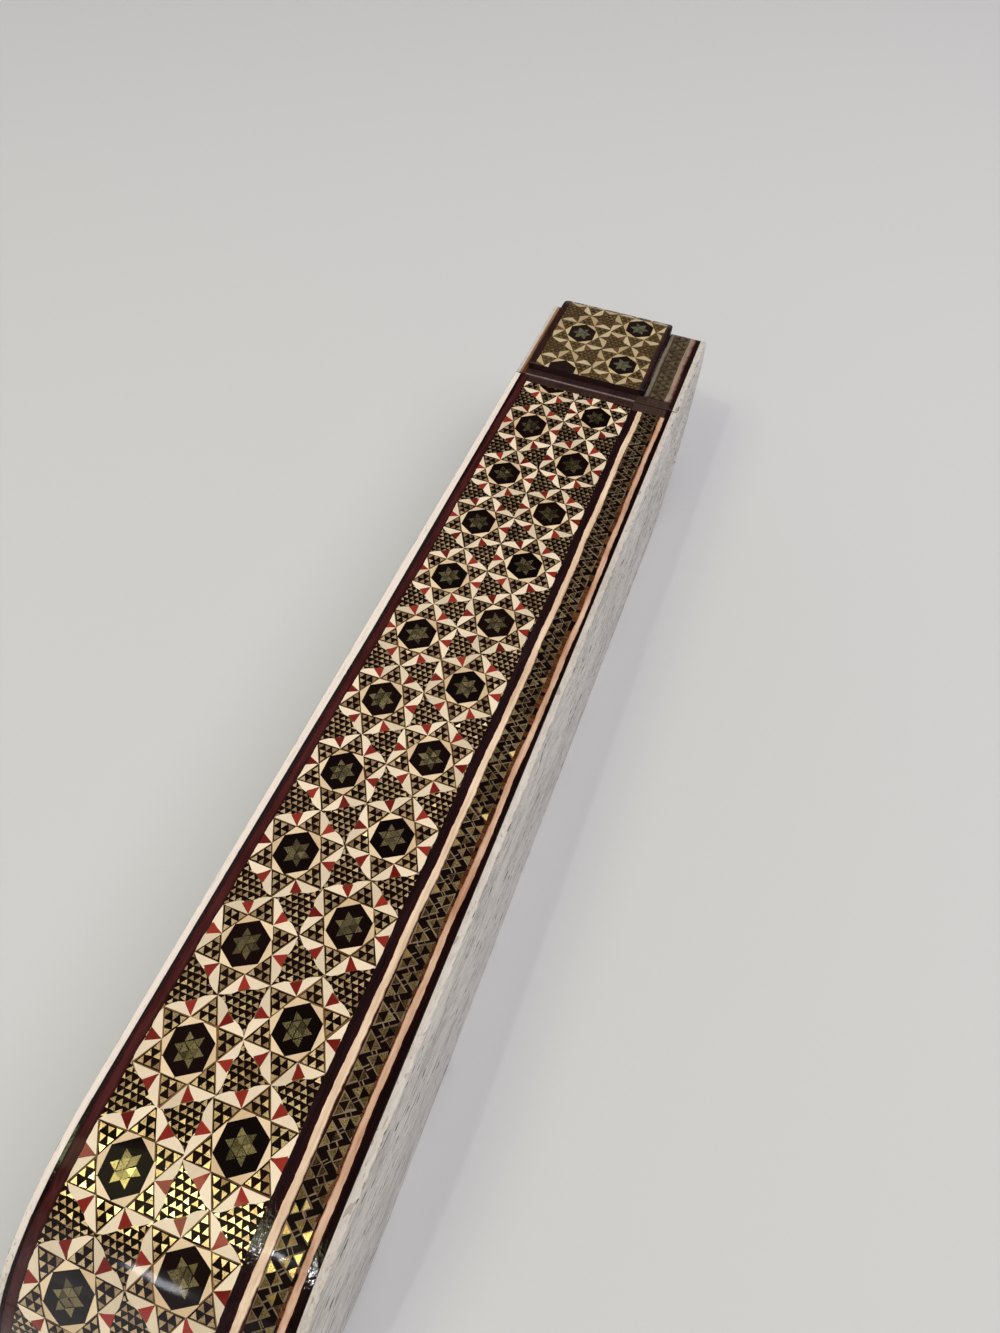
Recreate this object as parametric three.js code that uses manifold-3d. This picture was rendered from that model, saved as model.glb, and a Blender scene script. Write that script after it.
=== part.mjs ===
// A khatam pencil box: a long case with a rounded nose, and a drawer that pulls out of its other end.
// Millimetres, +Z up, +Y from the closed nose to the drawer's head, +X to the right.
// The origin is the middle of the footprint, on the surface that the box stands on.

import * as THREE from "three";
import { mergeVertices } from "three/addons/utils/BufferGeometryUtils.js";
import Module from "manifold-3d";

const wasm = await Module();
wasm.setup();

// Whole box
const BOX_LENGTH = 230;
const BOX_HEIGHT = 39;
const HEAD_LENGTH = 31.1;

// Rounded ends, as seen from the side
const NOSE_LENGTH = 30.8;
const KEEL_LENGTH = 38.5;
const KEEL_FULLNESS = 1.65;
const CORNER_LENGTH = 3.2;
const CORNER_DROP = 5;
const NOSE_TRIM_ANGLE = 150;
const KEEL_TRIM_ANGLE = 150;

// Boards and sheets
const LEFT_BONE_THICKNESS = 0.9;
const RIGHT_BONE_THICKNESS = 1.3;
const VENEER_THICKNESS = 1.6;
const ROOF_THICKNESS = 3.4;
const FLOOR_THICKNESS = 3.4;
const WALL_THICKNESS = 3.2;
const NOSE_BLOCK_LENGTH = 15.5;

// The block of khatam that stands proud on the head
const HEAD_PANEL_PROUD = 1.5;
const PANEL_CORNER_LENGTH = 4.5;
const PANEL_CORNER_DROP = 3;
const PANEL_SIDE_ROUNDING = 1.2;

// Widths of the strips across the top, from left to right
const LEFT_LINE_WIDTH = 0.6;
const LEFT_BORDER_WIDTH = 1.7;
const STAR_FIELD_WIDTH = 27;
const RIGHT_BORDER_WIDTH = 1.4;
const INNER_STRINGING_WIDTH = 1.2;
const BAND_WIDTH = 3.9;
const OUTER_STRINGING_WIDTH = 1.3;
const RIGHT_EDGE_WIDTH = 1.1;
const HEAD_LEFT_STRINGING_WIDTH = 0.6;
const HEAD_LEFT_BORDER_WIDTH = 1.6;

// Lengths of the cross pieces beside the seam
const MOUTH_STRIP_LENGTH = 2.2;
const MOUTH_BLOCK_LENGTH = 2.7;
const HEAD_STRIP_LENGTH = 2.4;
const HEAD_BLOCK_LENGTH = 2.6;

// Drawer trough
const TRAY_WALL_THICKNESS = 2.6;
const TRAY_FLOOR_THICKNESS = 2.6;
const TRAY_HOUSING_DEPTH = 3;

// Gaps and clearances
const GLUE_GAP = 0.1;
const SEAM_GAP = 0.3;
const SLIDING_CLEARANCE = 0.3;
const TRAY_END_CLEARANCE = 0.5;

// Facets of the rounded ends
const NOSE_STEPS = 36;
const CORNER_STEPS = 6;
const KEEL_STEPS = 26;
const ROUNDING_STEPS = 5;

// Finishes
const FINISHES = {
  star_khatam: { color: 0x5a4632, roughness: 0.25, metalness: 0.1 },
  band_khatam: { color: 0x4b3f2c, roughness: 0.25, metalness: 0.15 },
  maroon: { color: 0x40201f, roughness: 0.25, metalness: 0 },
  purple_black: { color: 0x24131a, roughness: 0.25, metalness: 0 },
  black_line: { color: 0x150a0c, roughness: 0.25, metalness: 0 },
  cream_line: { color: 0xe3c5a8, roughness: 0.3, metalness: 0 },
  orange_line: { color: 0xc79a72, roughness: 0.3, metalness: 0 },
  brown_block: { color: 0x4a3833, roughness: 0.3, metalness: 0 },
  bone: { color: 0xcfc5b4, roughness: 0.35, metalness: 0 },
  case_wood: { color: 0xa9825a, roughness: 0.6, metalness: 0 },
  tray_wood: { color: 0xb99468, roughness: 0.6, metalness: 0 },
  bottom_wood: { color: 0x5d3d28, roughness: 0.45, metalness: 0 },
};

// Places along the box
const NOSE_TIP_Y = -BOX_LENGTH / 2;
const HEAD_TIP_Y = BOX_LENGTH / 2 - HEAD_PANEL_PROUD;
const HEAD_FACE_Y = HEAD_TIP_Y - HEAD_LENGTH;
const MOUTH_Y = HEAD_FACE_Y - SEAM_GAP;
const NOSE_BACK_Y = NOSE_TIP_Y + VENEER_THICKNESS + GLUE_GAP + NOSE_BLOCK_LENGTH;
const BOARD_START_Y = NOSE_BACK_Y + GLUE_GAP;

// Places up the box
const CORE_INSET = VENEER_THICKNESS + GLUE_GAP;
const FLOOR_TOP_Z = CORE_INSET + FLOOR_THICKNESS;
const ROOF_UNDERSIDE_Z = BOX_HEIGHT - CORE_INSET - ROOF_THICKNESS;
const TRAY_BOTTOM_Z = FLOOR_TOP_Z + SLIDING_CLEARANCE;
const TRAY_TOP_Z = ROOF_UNDERSIDE_Z - SLIDING_CLEARANCE;

// Strips of the case and of the head, each an array of [name, width, finish]
const CASE_STRIPS = [
  ["case_left_line", LEFT_LINE_WIDTH, "black_line"],
  ["case_left_border", LEFT_BORDER_WIDTH, "maroon"],
  ["case_star_panel", STAR_FIELD_WIDTH, "star_khatam"],
  ["case_right_border", RIGHT_BORDER_WIDTH, "purple_black"],
  ["case_inner_stringing", INNER_STRINGING_WIDTH, "cream_line"],
  ["case_triangle_band", BAND_WIDTH, "band_khatam"],
  ["case_outer_stringing", OUTER_STRINGING_WIDTH, "orange_line"],
  ["case_right_edge", RIGHT_EDGE_WIDTH, "black_line"],
];
const LEFT_FIELD_WIDTH = LEFT_BORDER_WIDTH + STAR_FIELD_WIDTH;
const HEAD_LEFT_WIDTH = HEAD_LEFT_STRINGING_WIDTH + HEAD_LEFT_BORDER_WIDTH + GLUE_GAP;
const HEAD_STRIPS = [
  ["end_left_line", LEFT_LINE_WIDTH, "brown_block"],
  ["end_left_stringing", HEAD_LEFT_STRINGING_WIDTH, "orange_line"],
  ["end_left_border", HEAD_LEFT_BORDER_WIDTH, "black_line"],
  ["end_star_panel", LEFT_FIELD_WIDTH - HEAD_LEFT_WIDTH, "star_khatam"],
  ["end_right_border", RIGHT_BORDER_WIDTH, "purple_black"],
  ["end_inner_stringing", INNER_STRINGING_WIDTH, "cream_line"],
  ["end_triangle_band", BAND_WIDTH, "band_khatam"],
  ["end_outer_stringing", OUTER_STRINGING_WIDTH, "orange_line"],
  ["end_right_edge", RIGHT_EDGE_WIDTH, "black_line"],
];
const RAISED_STRIPS = ["end_left_border", "end_star_panel", "end_right_border"];

// Widths across the box
const VENEER_WIDTH = CASE_STRIPS.reduce((sum, strip) => sum + strip[1] + GLUE_GAP, -GLUE_GAP);
const BONE_WIDTHS = LEFT_BONE_THICKNESS + RIGHT_BONE_THICKNESS;
const BOX_WIDTH = VENEER_WIDTH + 2 * GLUE_GAP + BONE_WIDTHS;
const VENEER_LEFT = -BOX_WIDTH / 2 + LEFT_BONE_THICKNESS + GLUE_GAP;
const VENEER_MIDDLE = VENEER_LEFT + VENEER_WIDTH / 2;
const RIGHT_BONE_LEFT = BOX_WIDTH / 2 - RIGHT_BONE_THICKNESS;
const HOLLOW_WIDTH = VENEER_WIDTH - 2 * WALL_THICKNESS;
const TRAY_WIDTH = HOLLOW_WIDTH - 2 * SLIDING_CLEARANCE;

// A stretch of a superellipse in the side view, from angle t0 to t1 in degrees, where 0 is the top
// and 90 is the tip. Each point carries its outward normal.
function arc(centreY, centreZ, reach, rise, direction, t0, t1, steps, fullness = 2) {
  const points = [];
  const power = 2 / fullness;
  for (let i = 0; i <= steps; i += 1) {
    const t = THREE.MathUtils.degToRad(t0 + ((t1 - t0) * i) / steps);
    const along = Math.abs(Math.sin(t)) ** power;
    const up = Math.sign(Math.cos(t)) * Math.abs(Math.cos(t)) ** power;
    const normal = new THREE.Vector2(
      (direction * along ** (fullness - 1)) / reach,
      (Math.sign(up) * Math.abs(up) ** (fullness - 1)) / rise,
    ).normalize();
    points.push({ y: centreY + direction * reach * along, z: centreZ + rise * up, normal });
  }
  return points;
}

// A point on a flat stretch, or on a plane that cuts the outline square
function flatPoint(y, z, up) {
  return { y, z, normal: new THREE.Vector2(0, up) };
}

// Superellipse angle at which the keel curve reaches a given place along the box
function keelAngle(y) {
  const share = (y - (HEAD_TIP_Y - KEEL_LENGTH)) / KEEL_LENGTH;
  return 180 - THREE.MathUtils.radToDeg(Math.asin(share ** (KEEL_FULLNESS / 2)));
}

// The keel curve under the head end, between two angles
function keel(t0, t1, steps) {
  const rise = BOX_HEIGHT - CORNER_DROP;
  return arc(HEAD_TIP_Y - KEEL_LENGTH, rise, KEEL_LENGTH, rise, 1, t0, t1, steps, KEEL_FULLNESS);
}

// The nose curve, between two angles
function nose(t0, t1) {
  const half = BOX_HEIGHT / 2;
  const steps = Math.max(2, Math.round((NOSE_STEPS * (t1 - t0)) / 180));
  return arc(NOSE_TIP_Y + NOSE_LENGTH, half, NOSE_LENGTH, half, -1, t0, t1, steps);
}

// The rounded top corner of the head
function corner() {
  const top = BOX_HEIGHT - CORNER_DROP;
  return arc(HEAD_TIP_Y - CORNER_LENGTH, top, CORNER_LENGTH, CORNER_DROP, 1, 0, 90, CORNER_STEPS);
}

// Marks the ends of a run as cut square by an upright plane
function squareEnds(points, first, last) {
  if (first) points[0].square = true;
  if (last) points[points.length - 1].square = true;
  return points;
}

// The outline moved inwards by a thickness, or outwards where it is negative
function inset(points, distance) {
  return points.map(({ y, z, normal, square }) => {
    if (square) return new THREE.Vector2(y, z - distance / normal.y);
    return new THREE.Vector2(y - normal.x * distance, z - normal.y * distance);
  });
}

// The closed section between an outline moved by one distance and the same moved by another
function sheetSection(points, outer, inner) {
  return [...inset(points, outer), ...inset(points, inner).reverse()];
}

// The part of a closed section on one side of a straight line: axis "x" is along, "y" is up
function clip(section, axis, limit, keepAbove) {
  const inside = (p) => (keepAbove ? p[axis] >= limit : p[axis] <= limit);
  const kept = [];
  section.forEach((p, i) => {
    const q = section[(i + 1) % section.length];
    if (inside(p)) kept.push(p);
    if (inside(p) !== inside(q) && p[axis] !== limit && q[axis] !== limit) {
      const crossing = p.clone().lerp(q, (limit - p[axis]) / (q[axis] - p[axis]));
      crossing[axis] = limit;
      kept.push(crossing);
    }
  });
  return kept;
}

// A named mesh from a side-view section, with its left face at x and a width to the right
function addSection(group, name, section, x, width, finish) {
  const shape = new THREE.Shape(section);
  const geometry = new THREE.ExtrudeGeometry(shape, { depth: width, bevelEnabled: false });
  const sideView = new THREE.Matrix4().makeBasis(
    new THREE.Vector3(0, 1, 0),
    new THREE.Vector3(0, 0, 1),
    new THREE.Vector3(1, 0, 0),
  );
  geometry.applyMatrix4(sideView);
  return addMesh(group, name, geometry, finish, x);
}

// A named mesh in a group, moved along x
function addMesh(group, name, geometry, finish, x = 0) {
  const mesh = new THREE.Mesh(geometry, new THREE.MeshStandardMaterial(FINISHES[finish]));
  mesh.name = name;
  mesh.position.x = x;
  group.add(mesh);
  return mesh;
}

// A named block between two corners
function addBlock(group, name, low, high, finish) {
  const section = [
    new THREE.Vector2(low[1], low[2]),
    new THREE.Vector2(high[1], low[2]),
    new THREE.Vector2(high[1], high[2]),
    new THREE.Vector2(low[1], high[2]),
  ];
  return addSection(group, name, section, low[0], high[0] - low[0], finish);
}

// A closed geometry as a solid that can be cut
function toSolid(geometry) {
  const bare = geometry.clone();
  bare.deleteAttribute("normal");
  bare.deleteAttribute("uv");
  const merged = mergeVertices(bare, 1e-4);
  const mesh = new wasm.Mesh({
    numProp: 3,
    vertProperties: new Float32Array(merged.attributes.position.array),
    triVerts: new Uint32Array(merged.index.array),
  });
  return new wasm.Manifold(mesh);
}

// A solid back as a geometry
function toGeometry(solid) {
  const mesh = solid.getMesh();
  const geometry = new THREE.BufferGeometry();
  geometry.setAttribute("position", new THREE.BufferAttribute(mesh.vertProperties, 3));
  geometry.setIndex(new THREE.BufferAttribute(mesh.triVerts, 1));
  geometry.computeVertexNormals();
  return geometry;
}

// Left edge of each strip of a list, by name
function stripPlaces(strips) {
  const places = {};
  let x = VENEER_LEFT;
  strips.forEach(([name, width, finish]) => {
    places[name] = { x, width, finish };
    x += width + GLUE_GAP;
  });
  return places;
}

// The case's top outline, from a place near the mouth round the nose to where the veneer begins
function caseTopRun(endY) {
  return squareEnds([flatPoint(endY, BOX_HEIGHT, 1), ...nose(0, NOSE_TRIM_ANGLE)], true, false);
}

// The case's bottom outline, from the nose to the mouth
function caseBottomRun() {
  const trim = NOSE_TRIM_ANGLE + THREE.MathUtils.radToDeg(GLUE_GAP / NOSE_LENGTH);
  const end = keelAngle(MOUTH_Y);
  return squareEnds([...nose(trim, 180), ...keel(180, end, 4)], false, true);
}

// The whole side outline of the case
function caseOutline() {
  const end = keelAngle(MOUTH_Y);
  const run = [flatPoint(MOUTH_Y, BOX_HEIGHT, 1), ...nose(0, 180), ...keel(180, end, 4)];
  return squareEnds(run, true, true);
}

// The head's top outline, from a place near the seam round the far end to where the veneer begins
function headTopRun(startY) {
  const rounded = [...corner(), ...keel(90, KEEL_TRIM_ANGLE, KEEL_STEPS).slice(1)];
  const run = [flatPoint(startY, BOX_HEIGHT, 1), ...rounded];
  return squareEnds(run, true, false);
}

// The head's raised outline, with a tighter corner of its own and the same keel
function raisedTopRun(startY) {
  const top = BOX_HEIGHT + HEAD_PANEL_PROUD;
  const y = HEAD_TIP_Y + HEAD_PANEL_PROUD - PANEL_CORNER_LENGTH;
  const z = top - PANEL_CORNER_DROP;
  const rounded = arc(y, z, PANEL_CORNER_LENGTH, PANEL_CORNER_DROP, 1, 0, 90, CORNER_STEPS);
  const points = [flatPoint(startY, top, 1), ...rounded].map((p) => new THREE.Vector2(p.y, p.z));
  return [...points, ...inset(keel(90, KEEL_TRIM_ANGLE, KEEL_STEPS), -HEAD_PANEL_PROUD)];
}

// An upright prism over the raised block, with its two far corners rounded as seen from above
function raisedPlan(left, right) {
  const radius = PANEL_SIDE_ROUNDING;
  const farY = BOX_LENGTH / 2 - radius;
  const plan = new THREE.Shape();
  plan.moveTo(left, HEAD_FACE_Y);
  plan.lineTo(right, HEAD_FACE_Y);
  plan.absarc(right - radius, farY, radius, 0, Math.PI / 2, false);
  plan.absarc(left + radius, farY, radius, Math.PI / 2, Math.PI, false);
  const settings = { depth: 2 * BOX_HEIGHT, bevelEnabled: false, curveSegments: ROUNDING_STEPS };
  return toSolid(new THREE.ExtrudeGeometry(plan, settings));
}

// The head's bottom outline, from the end of the khatam to the seam
function headBottomRun() {
  const trim = KEEL_TRIM_ANGLE + THREE.MathUtils.radToDeg(GLUE_GAP / KEEL_LENGTH);
  return squareEnds(keel(trim, keelAngle(HEAD_FACE_Y), 3), false, true);
}

// The whole side outline of the head
function headOutline() {
  const end = keelAngle(HEAD_FACE_Y);
  const run = [
    flatPoint(HEAD_FACE_Y, BOX_HEIGHT, 1),
    ...corner(),
    ...keel(90, KEEL_TRIM_ANGLE, KEEL_STEPS).slice(1),
    ...keel(KEEL_TRIM_ANGLE, end, 3).slice(1),
  ];
  return squareEnds(run, true, true);
}

// Wooden boards and the solid nose of the case
function addCaseCarcass(group) {
  const left = VENEER_LEFT;
  const core = inset(caseOutline(), CORE_INSET);
  const nosePart = clip(core, "x", NOSE_BACK_Y, false);
  const boards = clip(core, "x", BOARD_START_Y, true);
  const roof = clip(boards, "y", ROOF_UNDERSIDE_Z, true);
  const floor = clip(boards, "y", FLOOR_TOP_Z, false);
  addSection(group, "nose_block", nosePart, left, VENEER_WIDTH, "case_wood");
  addSection(group, "case_roof", roof, left, VENEER_WIDTH, "case_wood");
  addSection(group, "case_floor", floor, left, VENEER_WIDTH, "case_wood");
  const walls = { case_left_wall: left, case_right_wall: left + WALL_THICKNESS + HOLLOW_WIDTH };
  Object.entries(walls).forEach(([name, x]) => {
    const low = [x, BOARD_START_Y, FLOOR_TOP_Z + GLUE_GAP];
    const high = [x + WALL_THICKNESS, MOUTH_Y, ROOF_UNDERSIDE_Z - GLUE_GAP];
    addBlock(group, name, low, high, "case_wood");
  });
}

// Marquetry strips, cross pieces, bone plates and bottom veneer of the case
function addCaseFacing(group) {
  const places = stripPlaces(CASE_STRIPS);
  const runEnds = {
    case_star_panel: MOUTH_Y - MOUTH_STRIP_LENGTH - GLUE_GAP,
    case_right_border: MOUTH_Y - MOUTH_BLOCK_LENGTH - GLUE_GAP,
    case_inner_stringing: MOUTH_Y - MOUTH_BLOCK_LENGTH - GLUE_GAP,
    case_triangle_band: MOUTH_Y - MOUTH_BLOCK_LENGTH - GLUE_GAP,
    case_outer_stringing: MOUTH_Y - MOUTH_BLOCK_LENGTH - GLUE_GAP,
  };
  Object.entries(places).forEach(([name, { x, width, finish }]) => {
    const run = caseTopRun(runEnds[name] ?? MOUTH_Y);
    addSection(group, name, sheetSection(run, 0, VENEER_THICKNESS), x, width, finish);
  });
  const under = BOX_HEIGHT - VENEER_THICKNESS;
  const star = places.case_star_panel;
  addBlock(
    group,
    "mouth_strip",
    [star.x, MOUTH_Y - MOUTH_STRIP_LENGTH, under],
    [star.x + star.width, MOUTH_Y, BOX_HEIGHT],
    "maroon",
  );
  const last = places.case_outer_stringing;
  addBlock(
    group,
    "mouth_block",
    [places.case_right_border.x, MOUTH_Y - MOUTH_BLOCK_LENGTH, under],
    [last.x + last.width, MOUTH_Y, BOX_HEIGHT],
    "brown_block",
  );
  const bottom = sheetSection(caseBottomRun(), 0, VENEER_THICKNESS);
  addSection(group, "case_bottom_veneer", bottom, VENEER_LEFT, VENEER_WIDTH, "bottom_wood");
  const side = inset(caseOutline(), 0);
  addSection(group, "case_left_bone", side, -BOX_WIDTH / 2, LEFT_BONE_THICKNESS, "bone");
  addSection(group, "case_right_bone", side, RIGHT_BONE_LEFT, RIGHT_BONE_THICKNESS, "bone");
}

// The head's wooden block, with the housing that the trough is glued into
function addHeadBlock(group) {
  const core = inset(headOutline(), CORE_INSET);
  const block = addSection(group, "end_block", core, 0, VENEER_WIDTH, "case_wood");
  const housing = new THREE.BoxGeometry(
    TRAY_WIDTH + 2 * GLUE_GAP,
    2 * TRAY_HOUSING_DEPTH,
    TRAY_TOP_Z - TRAY_BOTTOM_Z + 2 * GLUE_GAP,
  );
  housing.translate(VENEER_WIDTH / 2, HEAD_FACE_Y, (TRAY_TOP_Z + TRAY_BOTTOM_Z) / 2);
  block.geometry = toGeometry(toSolid(block.geometry).subtract(toSolid(housing)));
  block.position.x = VENEER_LEFT;
}

// Marquetry strips, cross pieces, bone plates and bottom veneer of the head
function addHeadFacing(group) {
  const places = stripPlaces(HEAD_STRIPS);
  const runStarts = {
    end_left_border: HEAD_FACE_Y + HEAD_STRIP_LENGTH + GLUE_GAP,
    end_star_panel: HEAD_FACE_Y + HEAD_STRIP_LENGTH + GLUE_GAP,
    end_right_border: HEAD_FACE_Y + HEAD_BLOCK_LENGTH + GLUE_GAP,
    end_inner_stringing: HEAD_FACE_Y + HEAD_BLOCK_LENGTH + GLUE_GAP,
    end_triangle_band: HEAD_FACE_Y + HEAD_BLOCK_LENGTH + GLUE_GAP,
    end_outer_stringing: HEAD_FACE_Y + HEAD_BLOCK_LENGTH + GLUE_GAP,
  };
  const rightBorder = places.end_right_border;
  const plan = raisedPlan(places.end_left_border.x, rightBorder.x + rightBorder.width);
  Object.entries(places).forEach(([name, { x, width, finish }]) => {
    const startY = runStarts[name] ?? HEAD_FACE_Y;
    const raised = RAISED_STRIPS.includes(name);
    const run = headTopRun(startY);
    const outer = raised ? raisedTopRun(startY) : inset(run, 0);
    const section = [...outer, ...inset(run, VENEER_THICKNESS).reverse()];
    const strip = addSection(group, name, section, x, width, finish);
    if (raised) {
      strip.geometry = toGeometry(toSolid(strip.geometry).intersect(plan.translate([-x, 0, 0])));
    }
  });
  const under = BOX_HEIGHT - VENEER_THICKNESS;
  const star = places.end_star_panel;
  addBlock(
    group,
    "end_seam_strip",
    [places.end_left_border.x, HEAD_FACE_Y, under],
    [star.x + star.width, HEAD_FACE_Y + HEAD_STRIP_LENGTH, BOX_HEIGHT],
    "maroon",
  );
  const last = places.end_outer_stringing;
  addBlock(
    group,
    "end_seam_block",
    [places.end_right_border.x, HEAD_FACE_Y, under],
    [last.x + last.width, HEAD_FACE_Y + HEAD_BLOCK_LENGTH, BOX_HEIGHT],
    "brown_block",
  );
  const bottom = sheetSection(headBottomRun(), 0, VENEER_THICKNESS);
  addSection(group, "end_bottom_veneer", bottom, VENEER_LEFT, VENEER_WIDTH, "bottom_wood");
  const side = inset(headOutline(), 0);
  addSection(group, "end_left_bone", side, -BOX_WIDTH / 2, LEFT_BONE_THICKNESS, "bone");
  addSection(group, "end_right_bone", side, RIGHT_BONE_LEFT, RIGHT_BONE_THICKNESS, "bone");
}

// The trough that holds the pencils, open at the top
function addTray(group) {
  const backY = NOSE_BACK_Y + TRAY_END_CLEARANCE;
  const frontY = HEAD_FACE_Y + TRAY_HOUSING_DEPTH - GLUE_GAP;
  const left = VENEER_MIDDLE - TRAY_WIDTH / 2;
  const right = left + TRAY_WIDTH;
  const top = TRAY_TOP_Z;
  const floorTop = TRAY_BOTTOM_Z + TRAY_FLOOR_THICKNESS;
  const wallLow = floorTop + GLUE_GAP;
  const innerLeft = left + TRAY_WALL_THICKNESS;
  const innerRight = right - TRAY_WALL_THICKNESS;
  addBlock(group, "tray_floor", [left, backY, TRAY_BOTTOM_Z], [right, frontY, floorTop], "tray_wood");
  addBlock(group, "tray_left_wall", [left, backY, wallLow], [innerLeft, frontY, top], "tray_wood");
  addBlock(group, "tray_right_wall", [innerRight, backY, wallLow], [right, frontY, top], "tray_wood");
  addBlock(
    group,
    "tray_back_wall",
    [innerLeft + GLUE_GAP, backY, wallLow],
    [innerRight - GLUE_GAP, backY + TRAY_WALL_THICKNESS, top],
    "tray_wood",
  );
}

const box = new THREE.Group();
const casePart = new THREE.Group();
const drawer = new THREE.Group();
box.add(casePart, drawer);
addCaseCarcass(casePart);
addCaseFacing(casePart);
addHeadBlock(drawer);
addTray(drawer);
addHeadFacing(drawer);

export default box;
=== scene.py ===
"""Looks of a khatam pencil box: marquetry bent round the ends of a wooden case and its drawer."""

import logging
import math
import random
from dataclasses import dataclass, field, replace
from enum import IntEnum
from itertools import pairwise
from typing import Iterable, NamedTuple, Sequence

import bmesh
import bpy
import numpy as np
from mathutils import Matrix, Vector
from mathutils.geometry import delaunay_2d_cdt


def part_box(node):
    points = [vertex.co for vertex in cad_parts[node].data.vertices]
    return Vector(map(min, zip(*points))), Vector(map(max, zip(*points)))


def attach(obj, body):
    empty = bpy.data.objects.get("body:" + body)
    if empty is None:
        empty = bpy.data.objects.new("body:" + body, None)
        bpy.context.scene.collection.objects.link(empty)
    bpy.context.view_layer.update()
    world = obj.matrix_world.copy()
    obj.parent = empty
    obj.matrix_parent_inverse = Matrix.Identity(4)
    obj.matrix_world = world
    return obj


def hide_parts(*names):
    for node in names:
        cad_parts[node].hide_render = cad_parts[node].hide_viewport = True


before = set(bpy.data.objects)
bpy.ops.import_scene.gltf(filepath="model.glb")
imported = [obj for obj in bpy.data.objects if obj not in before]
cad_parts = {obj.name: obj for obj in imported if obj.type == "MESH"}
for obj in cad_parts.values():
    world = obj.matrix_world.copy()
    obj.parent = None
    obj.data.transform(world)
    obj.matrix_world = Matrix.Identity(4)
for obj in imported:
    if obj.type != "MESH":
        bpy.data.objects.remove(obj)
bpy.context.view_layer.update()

log = logging.getLogger("pencil_box")

MM = 0.001
CASE = "case"
DRAWER = "drawer"
NOSE_COAT_STARTS = -94.5 * MM
NOSE_COAT_IS_FULL = -100.5 * MM

Point = tuple[float, float]
Outline = list[Point]
Colour = tuple[float, float, float]
Corner = np.ndarray
Corners = list[np.ndarray]
Socket = bpy.types.NodeSocket
Material = bpy.types.Material
Piece = bpy.types.Object


def srgb(red: int, green: int, blue: int) -> Colour:
    """Turns a colour as seen on a screen into the linear values that a shader takes.

    Args:
        red: Red, 0 to 255.
        green: Green, 0 to 255.
        blue: Blue, 0 to 255.

    Returns:
        Linear red, green and blue, 0 to 1.
    """
    def linear(value: int) -> float:
        """One channel in linear light."""
        share = value / 255
        return share / 12.92 if share <= 0.04045 else ((share + 0.055) / 1.055) ** 2.4

    return linear(red), linear(green), linear(blue)


def box_mm(node: str) -> tuple[np.ndarray, np.ndarray]:
    """Lowest and highest corner of a solid, in millimetres.

    Args:
        node: Name of the solid.

    Returns:
        The two corners.
    """
    low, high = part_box(node)
    return np.array(low) / MM, np.array(high) / MM


def ease(node: bpy.types.Node, start: Point, end: Point) -> None:
    """Sets a Map Range node to go softly from one value to another.

    Args:
        node: The node.
        start: Where the change starts, and the value up to there.
        end: Where it ends, and the value from there on.
    """
    node.interpolation_type = "SMOOTHSTEP"
    for name, value in zip(("From Min", "To Min", "From Max", "To Max"), (*start, *end)):
        node.inputs[name].default_value = value


def add_object(name: str, data: bpy.types.ID) -> Piece:
    """Adds an object to the scene."""
    added = bpy.data.objects.new(name, data)
    bpy.context.scene.collection.objects.link(added)
    return added


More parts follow.
